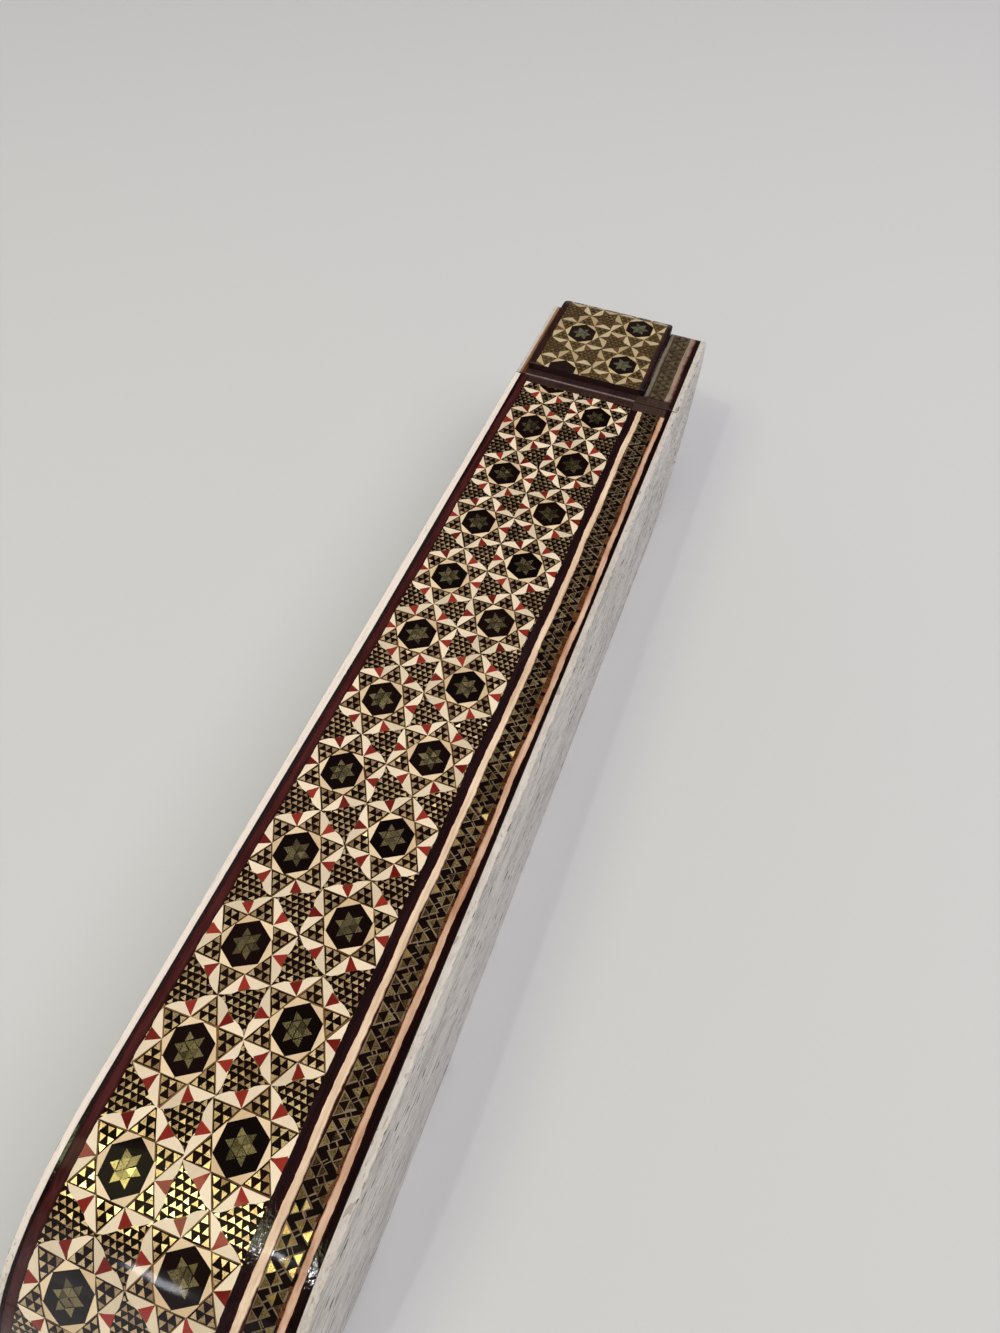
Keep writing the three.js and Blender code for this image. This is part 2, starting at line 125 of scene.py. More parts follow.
class Board:
    """One material's node tree, with short calls for the nodes that the finishes share."""

    def __init__(self, name: str) -> None:
        """Starts a material that holds a principled shader and its output.

        Args:
            name: The material's name.
        """
        self.material = bpy.data.materials.new(name)
        self.material.use_nodes = True
        self.nodes = self.material.node_tree.nodes
        self.links = self.material.node_tree.links
        self.shader = self.nodes["Principled BSDF"]
        self.place = self.nodes.new("ShaderNodeTexCoord").outputs["Object"]

    def add(self, kind: str, **settings: object) -> bpy.types.Node:
        """Adds a node.

        Args:
            kind: Blender's name of the node type.
            settings: Properties of the node.

        Returns:
            The new node.
        """
        node = self.nodes.new(kind)
        for name, value in settings.items():
            setattr(node, name, value)
        return node

    def feed(self, socket: Socket, value: object) -> None:
        """Links a socket to another, or sets its value.

        Args:
            socket: The input.
            value: An output socket, a number or a tuple.
        """
        if isinstance(value, Socket):
            self.links.new(value, socket)
        else:
            socket.default_value = value

    def set(self, **values: object) -> None:
        """Sets the shader's inputs, with underscores for the blanks in their names.

        Args:
            values: Sockets' names and what they take.
        """
        for name, value in values.items():
            self.feed(self.shader.inputs[name.replace("_", " ")], value)

    def math(self, operation: str, first: object, second: object) -> Socket:
        """Does one sum.

        Args:
            operation: Blender's name of the sum.
            first: First number or socket.
            second: Second number or socket.

        Returns:
            The result's socket.
        """
        node = self.add("ShaderNodeMath", operation=operation)
        self.feed(node.inputs[0], first)
        self.feed(node.inputs[1], second)
        return node.outputs[0]

    def blend(self, first: Socket, second: Socket, share: float) -> Socket:
        """Adds two values up, the first with a share of the weight and the second with the rest."""
        rest = self.math("MULTIPLY", second, 1 - share)
        return self.math("ADD", self.math("MULTIPLY", first, share), rest)

    def split(self, vector: Socket) -> bpy.types.NodeOutputs:
        """The X, Y and Z of a vector."""
        node = self.add("ShaderNodeSeparateXYZ")
        self.feed(node.inputs[0], vector)
        return node.outputs

    def noise(
        self,
        per_mm: Sequence[float],
        detail: float = 3.0,
        rough: float = 0.55,
        twist: float = 0.0,
        lean: float = 0.0,
    ) -> Socket:
        """Makes cloudy noise, drawn out along the axes.

        Args:
            per_mm: Noise cells to the millimetre along X, Y and Z.
            detail: Octaves.
            rough: How strong the fine octaves are.
            twist: Distortion.
            lean: How far it is turned about X, in degrees.

        Returns:
            A value from 0 to 1, mostly near the middle.
        """
        turned = self.add("ShaderNodeMapping")
        turned.inputs["Rotation"].default_value = (math.radians(lean), 0.0, 0.0)
        self.feed(turned.inputs["Vector"], self.place)
        stretch = self.add("ShaderNodeMapping")
        self.feed(stretch.inputs["Vector"], turned.outputs[0])
        stretch.inputs["Scale"].default_value = [value / MM for value in per_mm]
        node = self.add("ShaderNodeTexNoise")
        self.feed(node.inputs["Vector"], stretch.outputs[0])
        node.inputs["Scale"].default_value = 1.0
        node.inputs["Detail"].default_value = detail
        node.inputs["Roughness"].default_value = rough
        node.inputs["Distortion"].default_value = twist
        return node.outputs["Fac"]

    def ramp(self, value: Socket, stops: Sequence[tuple[float, Colour | float]]) -> Socket:
        """Turns a value into a colour or a grey.

        Args:
            value: What is looked up.
            stops: Places from 0 to 1, each with a colour or a grey.

        Returns:
            The colour's socket.
        """
        node = self.add("ShaderNodeValToRGB")
        self.feed(node.inputs[0], value)
        band = node.color_ramp
        while len(band.elements) < len(stops):
            band.elements.new(0.5)
        for element, (place, colour) in zip(band.elements, stops):
            element.position = place
            shade = colour if isinstance(colour, tuple) else (colour, colour, colour)
            element.color = (*shade, 1.0)
        return node.outputs[0]

    def mix(self, share: object, first: object, second: object) -> Socket:
        """Mixes two colours.

        Args:
            share: How much of the second, 0 to 1.
            first: First colour or socket.
            second: Second colour or socket.

        Returns:
            The mixed colour's socket.
        """
        node = self.add("ShaderNodeMix", data_type="RGBA")
        self.feed(node.inputs[0], share)
        for socket, colour in ((node.inputs[6], first), (node.inputs[7], second)):
            self.feed(socket, (*colour, 1.0) if isinstance(colour, tuple) else colour)
        return node.outputs[2]

    def bump(self, height: Socket, depth_mm: float, normal: Socket | None = None) -> Socket:
        """Turns a height into a normal.

        Args:
            height: The height, 0 to 1.
            depth_mm: What a height of 1 measures.
            normal: A normal that this one is laid on.

        Returns:
            The normal's socket.
        """
        node = self.add("ShaderNodeBump")
        node.inputs["Strength"].default_value = 1.0
        node.inputs["Distance"].default_value = depth_mm * MM
        self.feed(node.inputs["Height"], height)
        if normal is not None:
            self.feed(node.inputs["Normal"], normal)
        return node.outputs[0]

    def below(self, value: Socket, level: float, soft: float) -> Socket:
        """1 where a value is under a level and 0 above it, with a soft step of that width."""
        return self.ramp(value, [(level - soft, 1.0), (level, 0.0)])

    def towards_nose(self, flat: float, nose: float) -> Socket:
        """A value that changes where the flat top bends down to the nose.

        Args:
            flat: Its value on the flat top.
            nose: Its value on the nose.

        Returns:
            The value's socket.
        """
        turn = self.add("ShaderNodeMapRange")
        self.feed(turn.inputs["Value"], self.split(self.place)["Y"])
        ease(turn, (NOSE_COAT_STARTS, flat), (NOSE_COAT_IS_FULL, nose))
        return turn.outputs[0]

    def attribute(self, name: str, vector: bool = False) -> Socket:
        """Reads a value that each tile carries.

        Args:
            name: The attribute's name.
            vector: True for three numbers.

        Returns:
            The value's socket.
        """
        node = self.add("ShaderNodeAttribute", attribute_type="GEOMETRY", attribute_name=name)
        return node.outputs["Vector" if vector else "Fac"]


@dataclass(frozen=True)
class Lacquer:
    """The clear gloss coat over everything on the outside.

    Attributes:
        roughness: How much the coat blurs a reflection.
        ripple_mm: Length of the coat's slow waves.
        ripple_depth_mm: Height of those waves.
        orange_peel_mm: Length of its fine waves.
        orange_peel_depth_mm: Height of those.
        base_shine: Specular level of what lies under the coat, which wets it.
    """

    roughness: float = 0.07
    ripple_mm: float = 5.0
    ripple_depth_mm: float = 0.03
    orange_peel_mm: float = 0.9
    orange_peel_depth_mm: float = 0.0024
    base_shine: float = 0.03

    def lay_on(self, board: Board, weight: float, nose_weight: float | None = None) -> None:
        """Coats a material.

        Args:
            board: The material's node tree.
            weight: How much coat there is.
            nose_weight: How much there is on the nose, or none for the same.
        """
        slow = board.noise([1 / self.ripple_mm] * 3, detail=1.0)
        fine = board.noise([1 / self.orange_peel_mm] * 3, detail=2.0)
        waves = board.bump(slow, self.ripple_depth_mm)
        board.set(
            Coat_Weight=weight if nose_weight is None else board.towards_nose(weight, nose_weight),
            Coat_Roughness=self.roughness,
            Coat_IOR=1.5,
            Coat_Normal=board.bump(fine, self.orange_peel_depth_mm, waves),
            Specular_IOR_Level=self.base_shine,
        )


LACQUER = Lacquer()
WRINKLED_LACQUER = Lacquer(orange_peel_mm=0.6, orange_peel_depth_mm=0.034)


@dataclass(frozen=True)
class Finish:
    """A way to finish a surface, which becomes a material when a piece takes it.

    Attributes:
        name: The material's name.
    """

    name: str

    def paint(self, board: Board) -> None:
        """Sets the material's nodes out."""
        raise NotImplementedError

    def material(self) -> Material:
        """Builds the material."""
        board = Board(self.name)
        self.paint(board)
        return board.material


@dataclass(frozen=True)
class DyedWood(Finish):
    """A strip of dyed or dark hardwood under the coat.

    Attributes:
        dark: Colour in the pores.
        light: Colour of the wood between them.
        left_rim: Colour that has bled into its left edge, or none; on the head's seam strip it is a painted
            highlight instead.
        right_rim: The same for its right edge.
        rim_share: How much of the width each rim takes.
        coat: How much lacquer there is.
        lacquer: The lacquer.
        roughness: Of the bare wood.
        nose_coat: How much lacquer there is on the nose, or none for the same.
    """

    dark: Colour
    light: Colour
    left_rim: Colour | None = None
    right_rim: Colour | None = None
    rim_share: float = 0.16
    coat: float = 0.35
    lacquer: Lacquer = LACQUER
    roughness: float = 0.5
    nose_coat: float | None = None

    def paint(self, board: Board) -> None:
        """Sets the material's nodes out."""
        grain = board.noise([1.6, 0.09, 1.6], detail=4.0, rough=0.65, twist=0.3)
        cloud = board.noise([0.2, 0.12, 0.2], detail=3.0)
        colour = board.ramp(board.blend(grain, cloud, 0.6), [(0.36, self.dark), (0.62, self.light)])
        stray = board.math("SUBTRACT", board.noise([1.2, 0.8, 1.2]), 0.5)
        rim_wander = board.math("MULTIPLY", stray, self.rim_share * 1.4)
        across = board.math("ADD", board.attribute("across"), rim_wander)
        rims = (
            (self.left_rim, [(0.0, 1.0), (self.rim_share, 0.0)]),
            (self.right_rim, [(1 - self.rim_share, 0.0), (1.0, 1.0)]),
        )
        # A rim is dye bled into the edge; the head's seam strip's left rim is a painted highlight on its
        # near edge.
        for rim, stops in rims:
            if rim:
                colour = board.mix(board.ramp(across, stops), colour, rim)
        board.set(
            Base_Color=colour,
            Roughness=board.ramp(grain, [(0.3, self.roughness + 0.1), (0.7, self.roughness - 0.08)]),
            Normal=board.bump(grain, 0.012),
        )
        self.lacquer.lay_on(board, self.coat, self.nose_coat)


@dataclass(frozen=True)
class BareWood(Finish):
    """Plain sanded timber with year rings, for the boards and the trough.

    Attributes:
        early: Colour of the soft part of a year ring.
        late: Colour of its dark line.
        ring_mm: Width of a ring.
        tilt: How far the rings lean as they go up.
    """

    early: Colour
    late: Colour
    ring_mm: float = 2.6
    tilt: float = 0.55

    def paint(self, board: Board) -> None:
        """Sets the material's nodes out."""
        warp = board.noise([0.05, 0.009, 0.05], detail=2.0)
        place = board.split(board.place)
        across = board.math("ADD", place["X"], board.math("MULTIPLY", place["Z"], self.tilt))
        rings = board.math("DIVIDE", across, self.ring_mm * MM)
        bent = board.math("ADD", rings, board.math("MULTIPLY", warp, 5.0))
        line = board.ramp(board.math("PINGPONG", bent, 0.5), [(0.0, 1.0), (0.12, 0.55), (0.5, 0.0)])
        fibre = board.noise([3.0, 0.06, 3.0], detail=4.0, rough=0.7)
        pores = board.below(board.noise([5.0, 0.16, 5.0], detail=1.0), 0.36, 0.08)
        ringed = board.mix(line, self.early, self.late)
        streaked = board.mix(board.math("MULTIPLY", fibre, 0.5), ringed, self.late)
        dark = tuple(channel * 0.35 for channel in self.late)
        height = board.math("SUBTRACT", fibre, board.math("MULTIPLY", pores, 0.8))
        board.set(
            Base_Color=board.mix(board.math("MULTIPLY", pores, 0.6), streaked, dark),
            Roughness=board.ramp(fibre, [(0.3, 0.62), (0.7, 0.48)]),
            Normal=board.bump(height, 0.03),
        )


@dataclass(frozen=True)
class CamelBone(Finish):
    """Polished bone: pale, with slanting streaks and short dark pores; faces that look up take a flat rim
    colour, painted light that makes the top read as lit from above and the side as in shade.

    Attributes:
        pale: Colour of the clear parts.
        grey: Colour of the streaks.
        rim: Painted light: colour of the faces that look up, the edge that shows on top.
        pore: Colour inside the pores.
        pore_share: How much of the surface the fine pores take, as a place on the noise.
        crack_share: The same for the few long ones.
        slant: How far streaks and pores slant down towards the head, in degrees.
        coat: How much lacquer there is.
        top_light_cover: How far the painted top light hides the streaks.
    """

    pale: Colour
    grey: Colour
    rim: Colour
    pore: Colour = srgb(44, 38, 33)
    pore_share: float = 0.36
    crack_share: float = 0.3
    slant: float = 13.0
    coat: float = 0.4
    top_light_cover: float = 1.0

    def paint(self, board: Board) -> None:
        """Sets the material's nodes out."""
        streak = board.noise([2.0, 0.32, 2.0], detail=5.0, rough=0.72, twist=0.7, lean=self.slant)
        cloud = board.noise([0.12, 0.05, 0.12], detail=2.0)
        side = board.ramp(board.blend(streak, cloud, 0.7), [(0.41, self.grey), (0.55, self.pale)])
        slots = board.noise([2.5, 0.34, 2.5], detail=1.5, rough=0.5, twist=0.4, lean=self.slant)
        rare = board.ramp(board.noise([0.16, 0.08, 0.16], detail=1.0), [(0.44, 0.12), (0.56, 1.0)])
        fine = board.math("MULTIPLY", board.below(slots, self.pore_share, 0.035), rare)
        cracks = board.noise([0.85, 0.27, 0.85], detail=1.0, lean=self.slant)
        pores = board.math("MAXIMUM", fine, board.below(cracks, self.crack_share, 0.012))
        height = board.math("SUBTRACT", board.math("MULTIPLY", streak, 0.5), pores)
        normal = board.split(board.add("ShaderNodeNewGeometry").outputs["Normal"])
        # Painted light: faces that look up are mixed towards the rim colour, so the top reads lighter than
        # the side, as if lit from above.
        painted_top_light = board.ramp(normal["Z"], [(0.7, 0.0), (0.99, self.top_light_cover)])
        board.set(
            Base_Color=board.mix(painted_top_light, board.mix(pores, side, self.pore), self.rim),
            Roughness=board.ramp(streak, [(0.3, 0.46), (0.7, 0.34)]),
            Normal=board.bump(height, 0.07),
        )
        LACQUER.lay_on(board, self.coat)


@dataclass(frozen=True)
class InlaidWood(Finish):
    """Wood or bone cut into small tiles, each tile a little lighter or darker than the next.

    Attributes:
        dark: Colour of the darkest tile.
        light: Colour of the lightest.
        edge: How far the grain darkens it.
        coat: How much lacquer there is.
        nose_coat: How much there is on the nose, or none for the same.
    """

    dark: Colour
    light: Colour
    edge: float = 0.25
    coat: float = 0.4
    nose_coat: float | None = None

    def paint(self, board: Board) -> None:
        """Sets the material's nodes out."""
        cloud = board.noise([0.5, 0.35, 0.5], detail=3.0, rough=0.6)
        share = board.blend(board.attribute("tile_tone"), cloud, 0.6)
        fibre = board.noise([3.0, 1.6, 3.0], detail=2.0)
        body = board.ramp(share, [(0.2, self.dark), (0.75, self.light)])
        worn = tuple(channel * 0.6 for channel in self.dark)
        board.set(
            Base_Color=board.mix(board.math("MULTIPLY", fibre, self.edge), body, worn),
            Roughness=board.ramp(fibre, [(0.3, 0.5), (0.7, 0.36)]),
            Normal=board.bump(fibre, 0.006),
        )
        LACQUER.lay_on(board, self.coat, self.nose_coat)


@dataclass(frozen=True)
class BrassWire(Finish):
    """Ends of triangular brass wire, filed flush, each lying at a slightly different tilt.

    Attributes:
        dull: Colour of a tarnished end.
        bright: Colour of a fresh one.
        roughness: Of the filed metal.
        tilt: How far the ends lean.
        metal: How much of it is clean metal, the rest being tarnish.
        coat: How much lacquer there is.
        nose_coat: How much there is on the nose, or none for the same.
    """

    dull: Colour
    bright: Colour
    roughness: float = 0.33
    tilt: float = 0.06
    metal: float = 0.86
    coat: float = 0.02
    nose_coat: float | None = None

    def paint(self, board: Board) -> None:
        """Sets the material's nodes out."""
        cloud = board.noise([0.8, 0.8, 0.8], detail=3.0, rough=0.6)
        share = board.blend(board.attribute("tile_tone"), cloud, 0.65)
        lean = board.add("ShaderNodeVectorMath", operation="SCALE")
        board.feed(lean.inputs[0], board.attribute("tile_tilt", vector=True))
        lean.inputs["Scale"].default_value = self.tilt
        surface = board.add("ShaderNodeNewGeometry").outputs["Normal"]
        leant = board.add("ShaderNodeVectorMath", operation="ADD")
        board.feed(leant.inputs[0], surface)
        board.feed(leant.inputs[1], lean.outputs[0])
        straight = board.add("ShaderNodeVectorMath", operation="NORMALIZE")
        board.feed(straight.inputs[0], leant.outputs[0])
        scratches = board.noise([4.0, 4.0, 4.0], detail=2.0)
        board.set(
            Base_Color=board.ramp(share, [(0.2, self.dull), (0.75, self.bright)]),
            Metallic=self.metal,
            Roughness=board.ramp(scratches, [(0.3, self.roughness + 0.08), (0.7, self.roughness - 0.06)]),
            Normal=board.bump(scratches, 0.004, straight.outputs[0]),
        )
        LACQUER.lay_on(board, self.coat, self.nose_coat)


class Inlay(IntEnum):
    """What a bit of marquetry is made of. A higher one lies on top of a lower one."""

    EBONY = 0
    BRASS = 1
    OLIVE = 2
    BONE = 3
    RED = 4
    GREY_BRASS = 5
    SAWN_SIDE = 6
    WARM_BONE = 7
    JET = 8


@dataclass(frozen=True)
class Palette:
    """The finishes of one marquetry sheet, in the order of Inlay.

    Attributes:
        finishes: One finish for each kind of inlay.
        nose_coat: How much lacquer they all have on the nose, or none for the same.
    """

    finishes: tuple[Finish, ...]
    nose_coat: float | None = None

    def materials(self) -> list[Material]:
        """Builds every finish of the sheet."""
        return [replace(finish, nose_coat=self.nose_coat).material() for finish in self.finishes]


SHEET_NOSE_COAT = 0.85
LINE_NOSE_COAT = 0.6
CASE_PALETTE = Palette((
    InlaidWood("inlay_ebony", srgb(10, 2, 1), srgb(26, 8, 4), edge=0.1, coat=0.03),
    BrassWire("inlay_brass", srgb(160, 129, 94), srgb(240, 209, 158), roughness=0.3, metal=0.93),
    InlaidWood("inlay_glue_line", srgb(68, 42, 22), srgb(124, 92, 54), coat=0.1),
    InlaidWood("inlay_bone", srgb(214, 194, 166), srgb(246, 225, 197), edge=0.12, coat=0.13),
    InlaidWood("inlay_red_wood", srgb(98, 20, 15), srgb(158, 50, 40), coat=0.2),
    BrassWire("inlay_star_brass", srgb(84, 74, 50), srgb(150, 134, 94), roughness=0.27, metal=0.96),
    InlaidWood("inlay_sawn_side", srgb(42, 24, 24), srgb(62, 40, 38)),
    InlaidWood("inlay_warm_bone", srgb(212, 182, 144), srgb(242, 216, 180), edge=0.12, coat=0.13),
    InlaidWood("inlay_jet", srgb(8, 2, 2), srgb(20, 6, 4), edge=0.1, coat=0.03),
), nose_coat=SHEET_NOSE_COAT)
BAND_PALETTE = Palette((
    InlaidWood("band_ebony", srgb(9, 2, 1), srgb(22, 7, 3), edge=0.1, coat=0.03),
    BrassWire("band_brass", srgb(102, 86, 52), srgb(168, 144, 92), roughness=0.27, metal=0.95),
    InlaidWood("band_glue_line", srgb(92, 76, 58), srgb(134, 114, 92), coat=0.1),
    InlaidWood("band_brown", srgb(64, 32, 16), srgb(104, 64, 38), edge=0.3, coat=0.1),
    InlaidWood("band_red_line", srgb(42, 14, 6), srgb(60, 26, 14)),
    BrassWire("band_dull_brass", srgb(66, 50, 30), srgb(126, 102, 62), roughness=0.27, metal=0.95),
    InlaidWood("band_sawn_side", srgb(42, 24, 24), srgb(62, 40, 38)),
), nose_coat=SHEET_NOSE_COAT)
HEAD_PALETTE = Palette((
    InlaidWood("head_ebony", srgb(58, 42, 25), srgb(80, 62, 40), coat=0.2),
    BrassWire("head_brass", srgb(94, 76, 48), srgb(124, 102, 68), metal=0.4),
    InlaidWood("head_glue_line", srgb(88, 70, 38), srgb(124, 102, 62)),
    InlaidWood("head_bone", srgb(172, 150, 114), srgb(200, 180, 146), edge=0.14),
    InlaidWood("head_red_wood", srgb(86, 58, 38), srgb(112, 78, 56)),
    BrassWire("head_star_brass", srgb(86, 82, 62), srgb(108, 104, 82), metal=0.3),
    InlaidWood("head_sawn_side", srgb(42, 26, 26), srgb(60, 40, 38)),
    InlaidWood("head_warm_bone", srgb(184, 158, 116), srgb(210, 188, 150), edge=0.14),
    InlaidWood("head_jet", srgb(24, 12, 12), srgb(42, 28, 24), coat=0.2),
))
HAZY_BAND_PALETTE = Palette((
    InlaidWood("hazy_ebony", srgb(52, 40, 28), srgb(72, 58, 44), coat=0.2),
    BrassWire("hazy_brass", srgb(92, 80, 58), srgb(116, 102, 78), metal=0.4),
    InlaidWood("hazy_glue_line", srgb(84, 72, 54), srgb(106, 92, 72)),
    InlaidWood("hazy_brown", srgb(84, 66, 48), srgb(110, 90, 68)),
    InlaidWood("hazy_red_line", srgb(66, 48, 36), srgb(86, 66, 52)),
    BrassWire("hazy_dull_brass", srgb(76, 64, 46), srgb(98, 84, 64), metal=0.4),
    InlaidWood("hazy_sawn_side", srgb(42, 26, 26), srgb(60, 40, 38)),
))
HEAD_LINES = {
    "end_left_line": DyedWood(
        "head_left_line", srgb(120, 80, 50), srgb(172, 128, 92), None, srgb(84, 40, 24), 0.4
    ),
    "end_left_stringing": DyedWood("head_left_stringing", srgb(66, 30, 18), srgb(104, 58, 38)),
    "end_left_border": DyedWood("head_left_border", srgb(28, 14, 10), srgb(54, 32, 26)),
    "end_right_border": DyedWood(
        "head_right_border", srgb(22, 8, 8), srgb(56, 36, 34), srgb(66, 46, 42), srgb(18, 4, 4), 0.45
    ),
    "end_inner_stringing": DyedWood(
        "head_inner_line", srgb(96, 84, 72), srgb(146, 134, 120), srgb(60, 46, 40), srgb(82, 72, 58), 0.35
    ),
    "end_outer_stringing": DyedWood(
        "head_outer_line", srgb(136, 114, 98), srgb(170, 150, 134), None, srgb(92, 50, 42), 0.5
    ),
    "end_right_edge": DyedWood(
        "head_right_edge", srgb(16, 6, 5), srgb(36, 20, 18), srgb(70, 32, 26), None, 0.25
    ),
}
FINISHES = {
    "maroon": DyedWood(
        "maroon_wood", srgb(46, 14, 12), srgb(78, 34, 34), srgb(44, 12, 9), srgb(42, 12, 9),
        rim_share=0.3, coat=0.05, nose_coat=LINE_NOSE_COAT,
    ),
    "purple_black": DyedWood(
        "purple_black_wood", srgb(18, 5, 6), srgb(38, 17, 20), None, srgb(44, 8, 6),
        rim_share=0.3, coat=0.25, lacquer=WRINKLED_LACQUER,
    ),
    "black_line": DyedWood(
        "black_line_wood", srgb(10, 1, 1), srgb(26, 5, 3), srgb(42, 8, 6),
        rim_share=0.2, coat=0.4, lacquer=WRINKLED_LACQUER,
    ),
    "cream_line": DyedWood(
        "cream_line", srgb(204, 170, 140), srgb(242, 214, 186), None, srgb(58, 24, 12),
        rim_share=0.2, coat=0.03, nose_coat=LINE_NOSE_COAT,
    ),
    "orange_line": DyedWood(
        "orange_line", srgb(172, 124, 96), srgb(222, 186, 160), srgb(160, 104, 74),
        rim_share=0.15, coat=0.03, nose_coat=LINE_NOSE_COAT,
    ),
    "brown_block": DyedWood("brown_block", srgb(42, 28, 24), srgb(76, 56, 50)),
    "seam_wood": DyedWood("seam_wood", srgb(42, 25, 22), srgb(62, 42, 38)),
    # Painted highlight: a pale lilac-grey line along the near edge of the head's seam strip, broken by
    # noise, standing in for light caught on its rounded lacquered edge.
    "seam_painted_highlight": DyedWood("seam_wood_painted_highlight", srgb(40, 25, 25), srgb(58, 39, 39), srgb(150, 126, 122)),
    # Both bones paint light on their faces that look up: the plain one mildly, the next one with a
    # near-white rim at full cover, so its top reads brightly lit.
    "bone": CamelBone(
        "camel_bone", srgb(212, 206, 199), srgb(156, 150, 142), srgb(210, 196, 187), top_light_cover=0.65
    ),
    "painted_top_light_bone": CamelBone(
        "camel_bone_painted_top_light", srgb(212, 206, 199), srgb(156, 150, 142), srgb(240, 225, 215)
    ),
    "case_wood": BareWood("case_timber", srgb(190, 152, 106), srgb(134, 94, 58)),
    "tray_wood": BareWood("tray_timber", srgb(204, 170, 124), srgb(156, 116, 76), ring_mm=3.4),
    "bottom_wood": DyedWood("bottom_veneer", srgb(62, 36, 20), srgb(110, 72, 44)),
}


class Sheet:
    """Collects faces with their corner normals and tile values, and writes them as one mesh."""

    def __init__(self, name: str) -> None:
        """Starts an empty mesh.

        Args:
            name: Name of the piece.
        """
        self.name = name
        self.points: list[Sequence[float]] = []
        self.across: list[float] = []
        self.faces: list[list[int]] = []
        self.normals: list[list[Sequence[float]]] = []
        self.slots: list[int] = []
        self.tones: list[float] = []
        self.tilts: list[Sequence[float]] = []

    def add_points(self, points: Iterable[Sequence[float]], across: Sequence[float] | None = None) -> int:
        """Adds points in millimetres.

        Args:
            points: The points.
            across: Each point's share of the way across the piece, or none for the middle.

        Returns:
            The first one's number.
        """
        first = len(self.points)
        self.points.extend(points)
        added = len(self.points) - first
        self.across.extend(across or [0.5] * added)
        return first

    def add_face(
        self,
        corners: list[int],
        normals: list[Sequence[float]] | None = None,
        slot: int = 0,
        tone: float = 0.5,
        tilt: Sequence[float] = (0.0, 0.0, 0.0),
    ) -> None:
        """Adds a face.

        Args:
            corners: Its points, anticlockwise from outside.
            normals: A normal for each corner, or none for a flat face.
            slot: Which material it takes.
            tone: How light the tile is, 0 to 1.
            tilt: How the tile leans.
        """
        if normals is None:
            where = np.array([self.points[corner] for corner in corners])
            flat = np.zeros(3)
            for i in range(1, len(where) - 1):
                flat += np.cross(where[i] - where[0], where[i + 1] - where[0])
            length = np.linalg.norm(flat)
            flat = flat / length if length > 1e-12 else np.array([0.0, 0.0, 1.0])
            normals = [flat] * len(corners)
        self.faces.append(corners)
        self.normals.append(normals)
        self.slots.append(slot)
        self.tones.append(tone)
        self.tilts.append(tilt)

    def finish(self, materials: list[Material]) -> Piece:
        """Writes the mesh.

        Args:
            materials: The piece's materials, in slot order.

        Returns:
            The new object.
        """
        mesh = bpy.data.meshes.new(self.name)
        mesh.from_pydata([[value * MM for value in point] for point in self.points], [], self.faces)
        mesh.polygons.foreach_set("material_index", self.slots)
        mesh.polygons.foreach_set("use_smooth", [True] * len(self.faces))
        across = mesh.attributes.new("across", "FLOAT", "POINT")
        across.data.foreach_set("value", self.across)
        tone = mesh.attributes.new("tile_tone", "FLOAT", "FACE")
        tone.data.foreach_set("value", self.tones)
        tilt = mesh.attributes.new("tile_tilt", "FLOAT_VECTOR", "FACE")
        tilt.data.foreach_set("vector", [value for each in self.tilts for value in each])
        corners = [normal for face in self.normals for normal in face]
        mesh.normals_split_custom_set([tuple(map(float, normal)) for normal in corners])
        for material in materials:
            mesh.materials.append(material)
        return add_object(self.name, mesh)


class Contour:
    """A side outline of the box, measured along its surface.

    A place on it is a run: on the flat top it is the Y coordinate, and past the end of the flat it goes on
    along the curve, growing towards the drawer's head and falling towards the nose.
    """

    def __init__(self, outer: np.ndarray, back: np.ndarray, flat_run: float, sign: int) -> None:
        """Keeps the curved stretch of an outline.

        Args:
            outer: Rows of Y, Z and the outward normal's Y and Z, from the end of the flat.
            back: Rows of Y and Z of the sheet's underside, point for point.
            flat_run: Where the flat ends.
            sign: 1 where the curve goes towards the head, -1 towards the nose.
        """
        steps = np.hypot(*np.diff(outer[:2], axis=1))
        self.lengths = np.concatenate([[0.0], np.cumsum(steps)])
        self.curve = np.concatenate([outer, back])
        self.flat_run = flat_run
        self.sign = sign
        self.end_run = flat_run + sign * self.lengths[-1]
        self.tip = float(outer[0].max())

    def at(self, run: float) -> np.ndarray:
        """Looks a place up.

        Args:
            run: The place, in millimetres.

        Returns:
            Its Y and Z, its outward normal's Y and Z, and the underside's Y and Z.
        """
        past = self.sign * (run - self.flat_run)
        if past <= 0:
            return np.array([run, self.curve[1, 0], 0.0, 1.0, run, self.curve[5, 0]])
        return np.array([np.interp(past, self.lengths, row) for row in self.curve])

    def point(self, x: float, run: float, depth: float = 0.0) -> tuple[float, float, float]:
        """A point under the surface.

        Args:
            x: Place across the box.
            run: Place along the outline.
            depth: How far below the surface.

        Returns:
            The point in millimetres.
        """
        y, z, normal_y, normal_z = self.at(run)[:4]
        return x, y - normal_y * depth, z - normal_z * depth

    def under(self, x: float, run: float) -> tuple[float, float, float]:
        """The point of the sheet's underside at a run."""
        return x, *self.at(run)[4:]

    def normal(self, run: float) -> tuple[float, float, float]:
        """The outward normal at a run."""
        return 0.0, *self.at(run)[2:4]

    def steps(self, low: float, high: float, flat_step: float, curve_step: float) -> list[float]:
        """Runs from one place to another, closer together on the curve.

        Args:
            low: Where to start.
            high: Where to end.
            flat_step: Longest step on the flat.
            curve_step: Longest step on the curve.

        Returns:
            The runs.
        """
        turn = min(max(self.flat_run, low), high)
        runs: list[float] = []
        for start, end in ((low, turn), (turn, high)):
            if end - start < 1e-6:
                continue
            curved = self.sign * ((start + end) / 2 - self.flat_run) > 0
            count = max(1, math.ceil((end - start) / (curve_step if curved else flat_step)))
            runs += [start + (end - start) * i / count for i in range(count)]
        return [*runs, high]


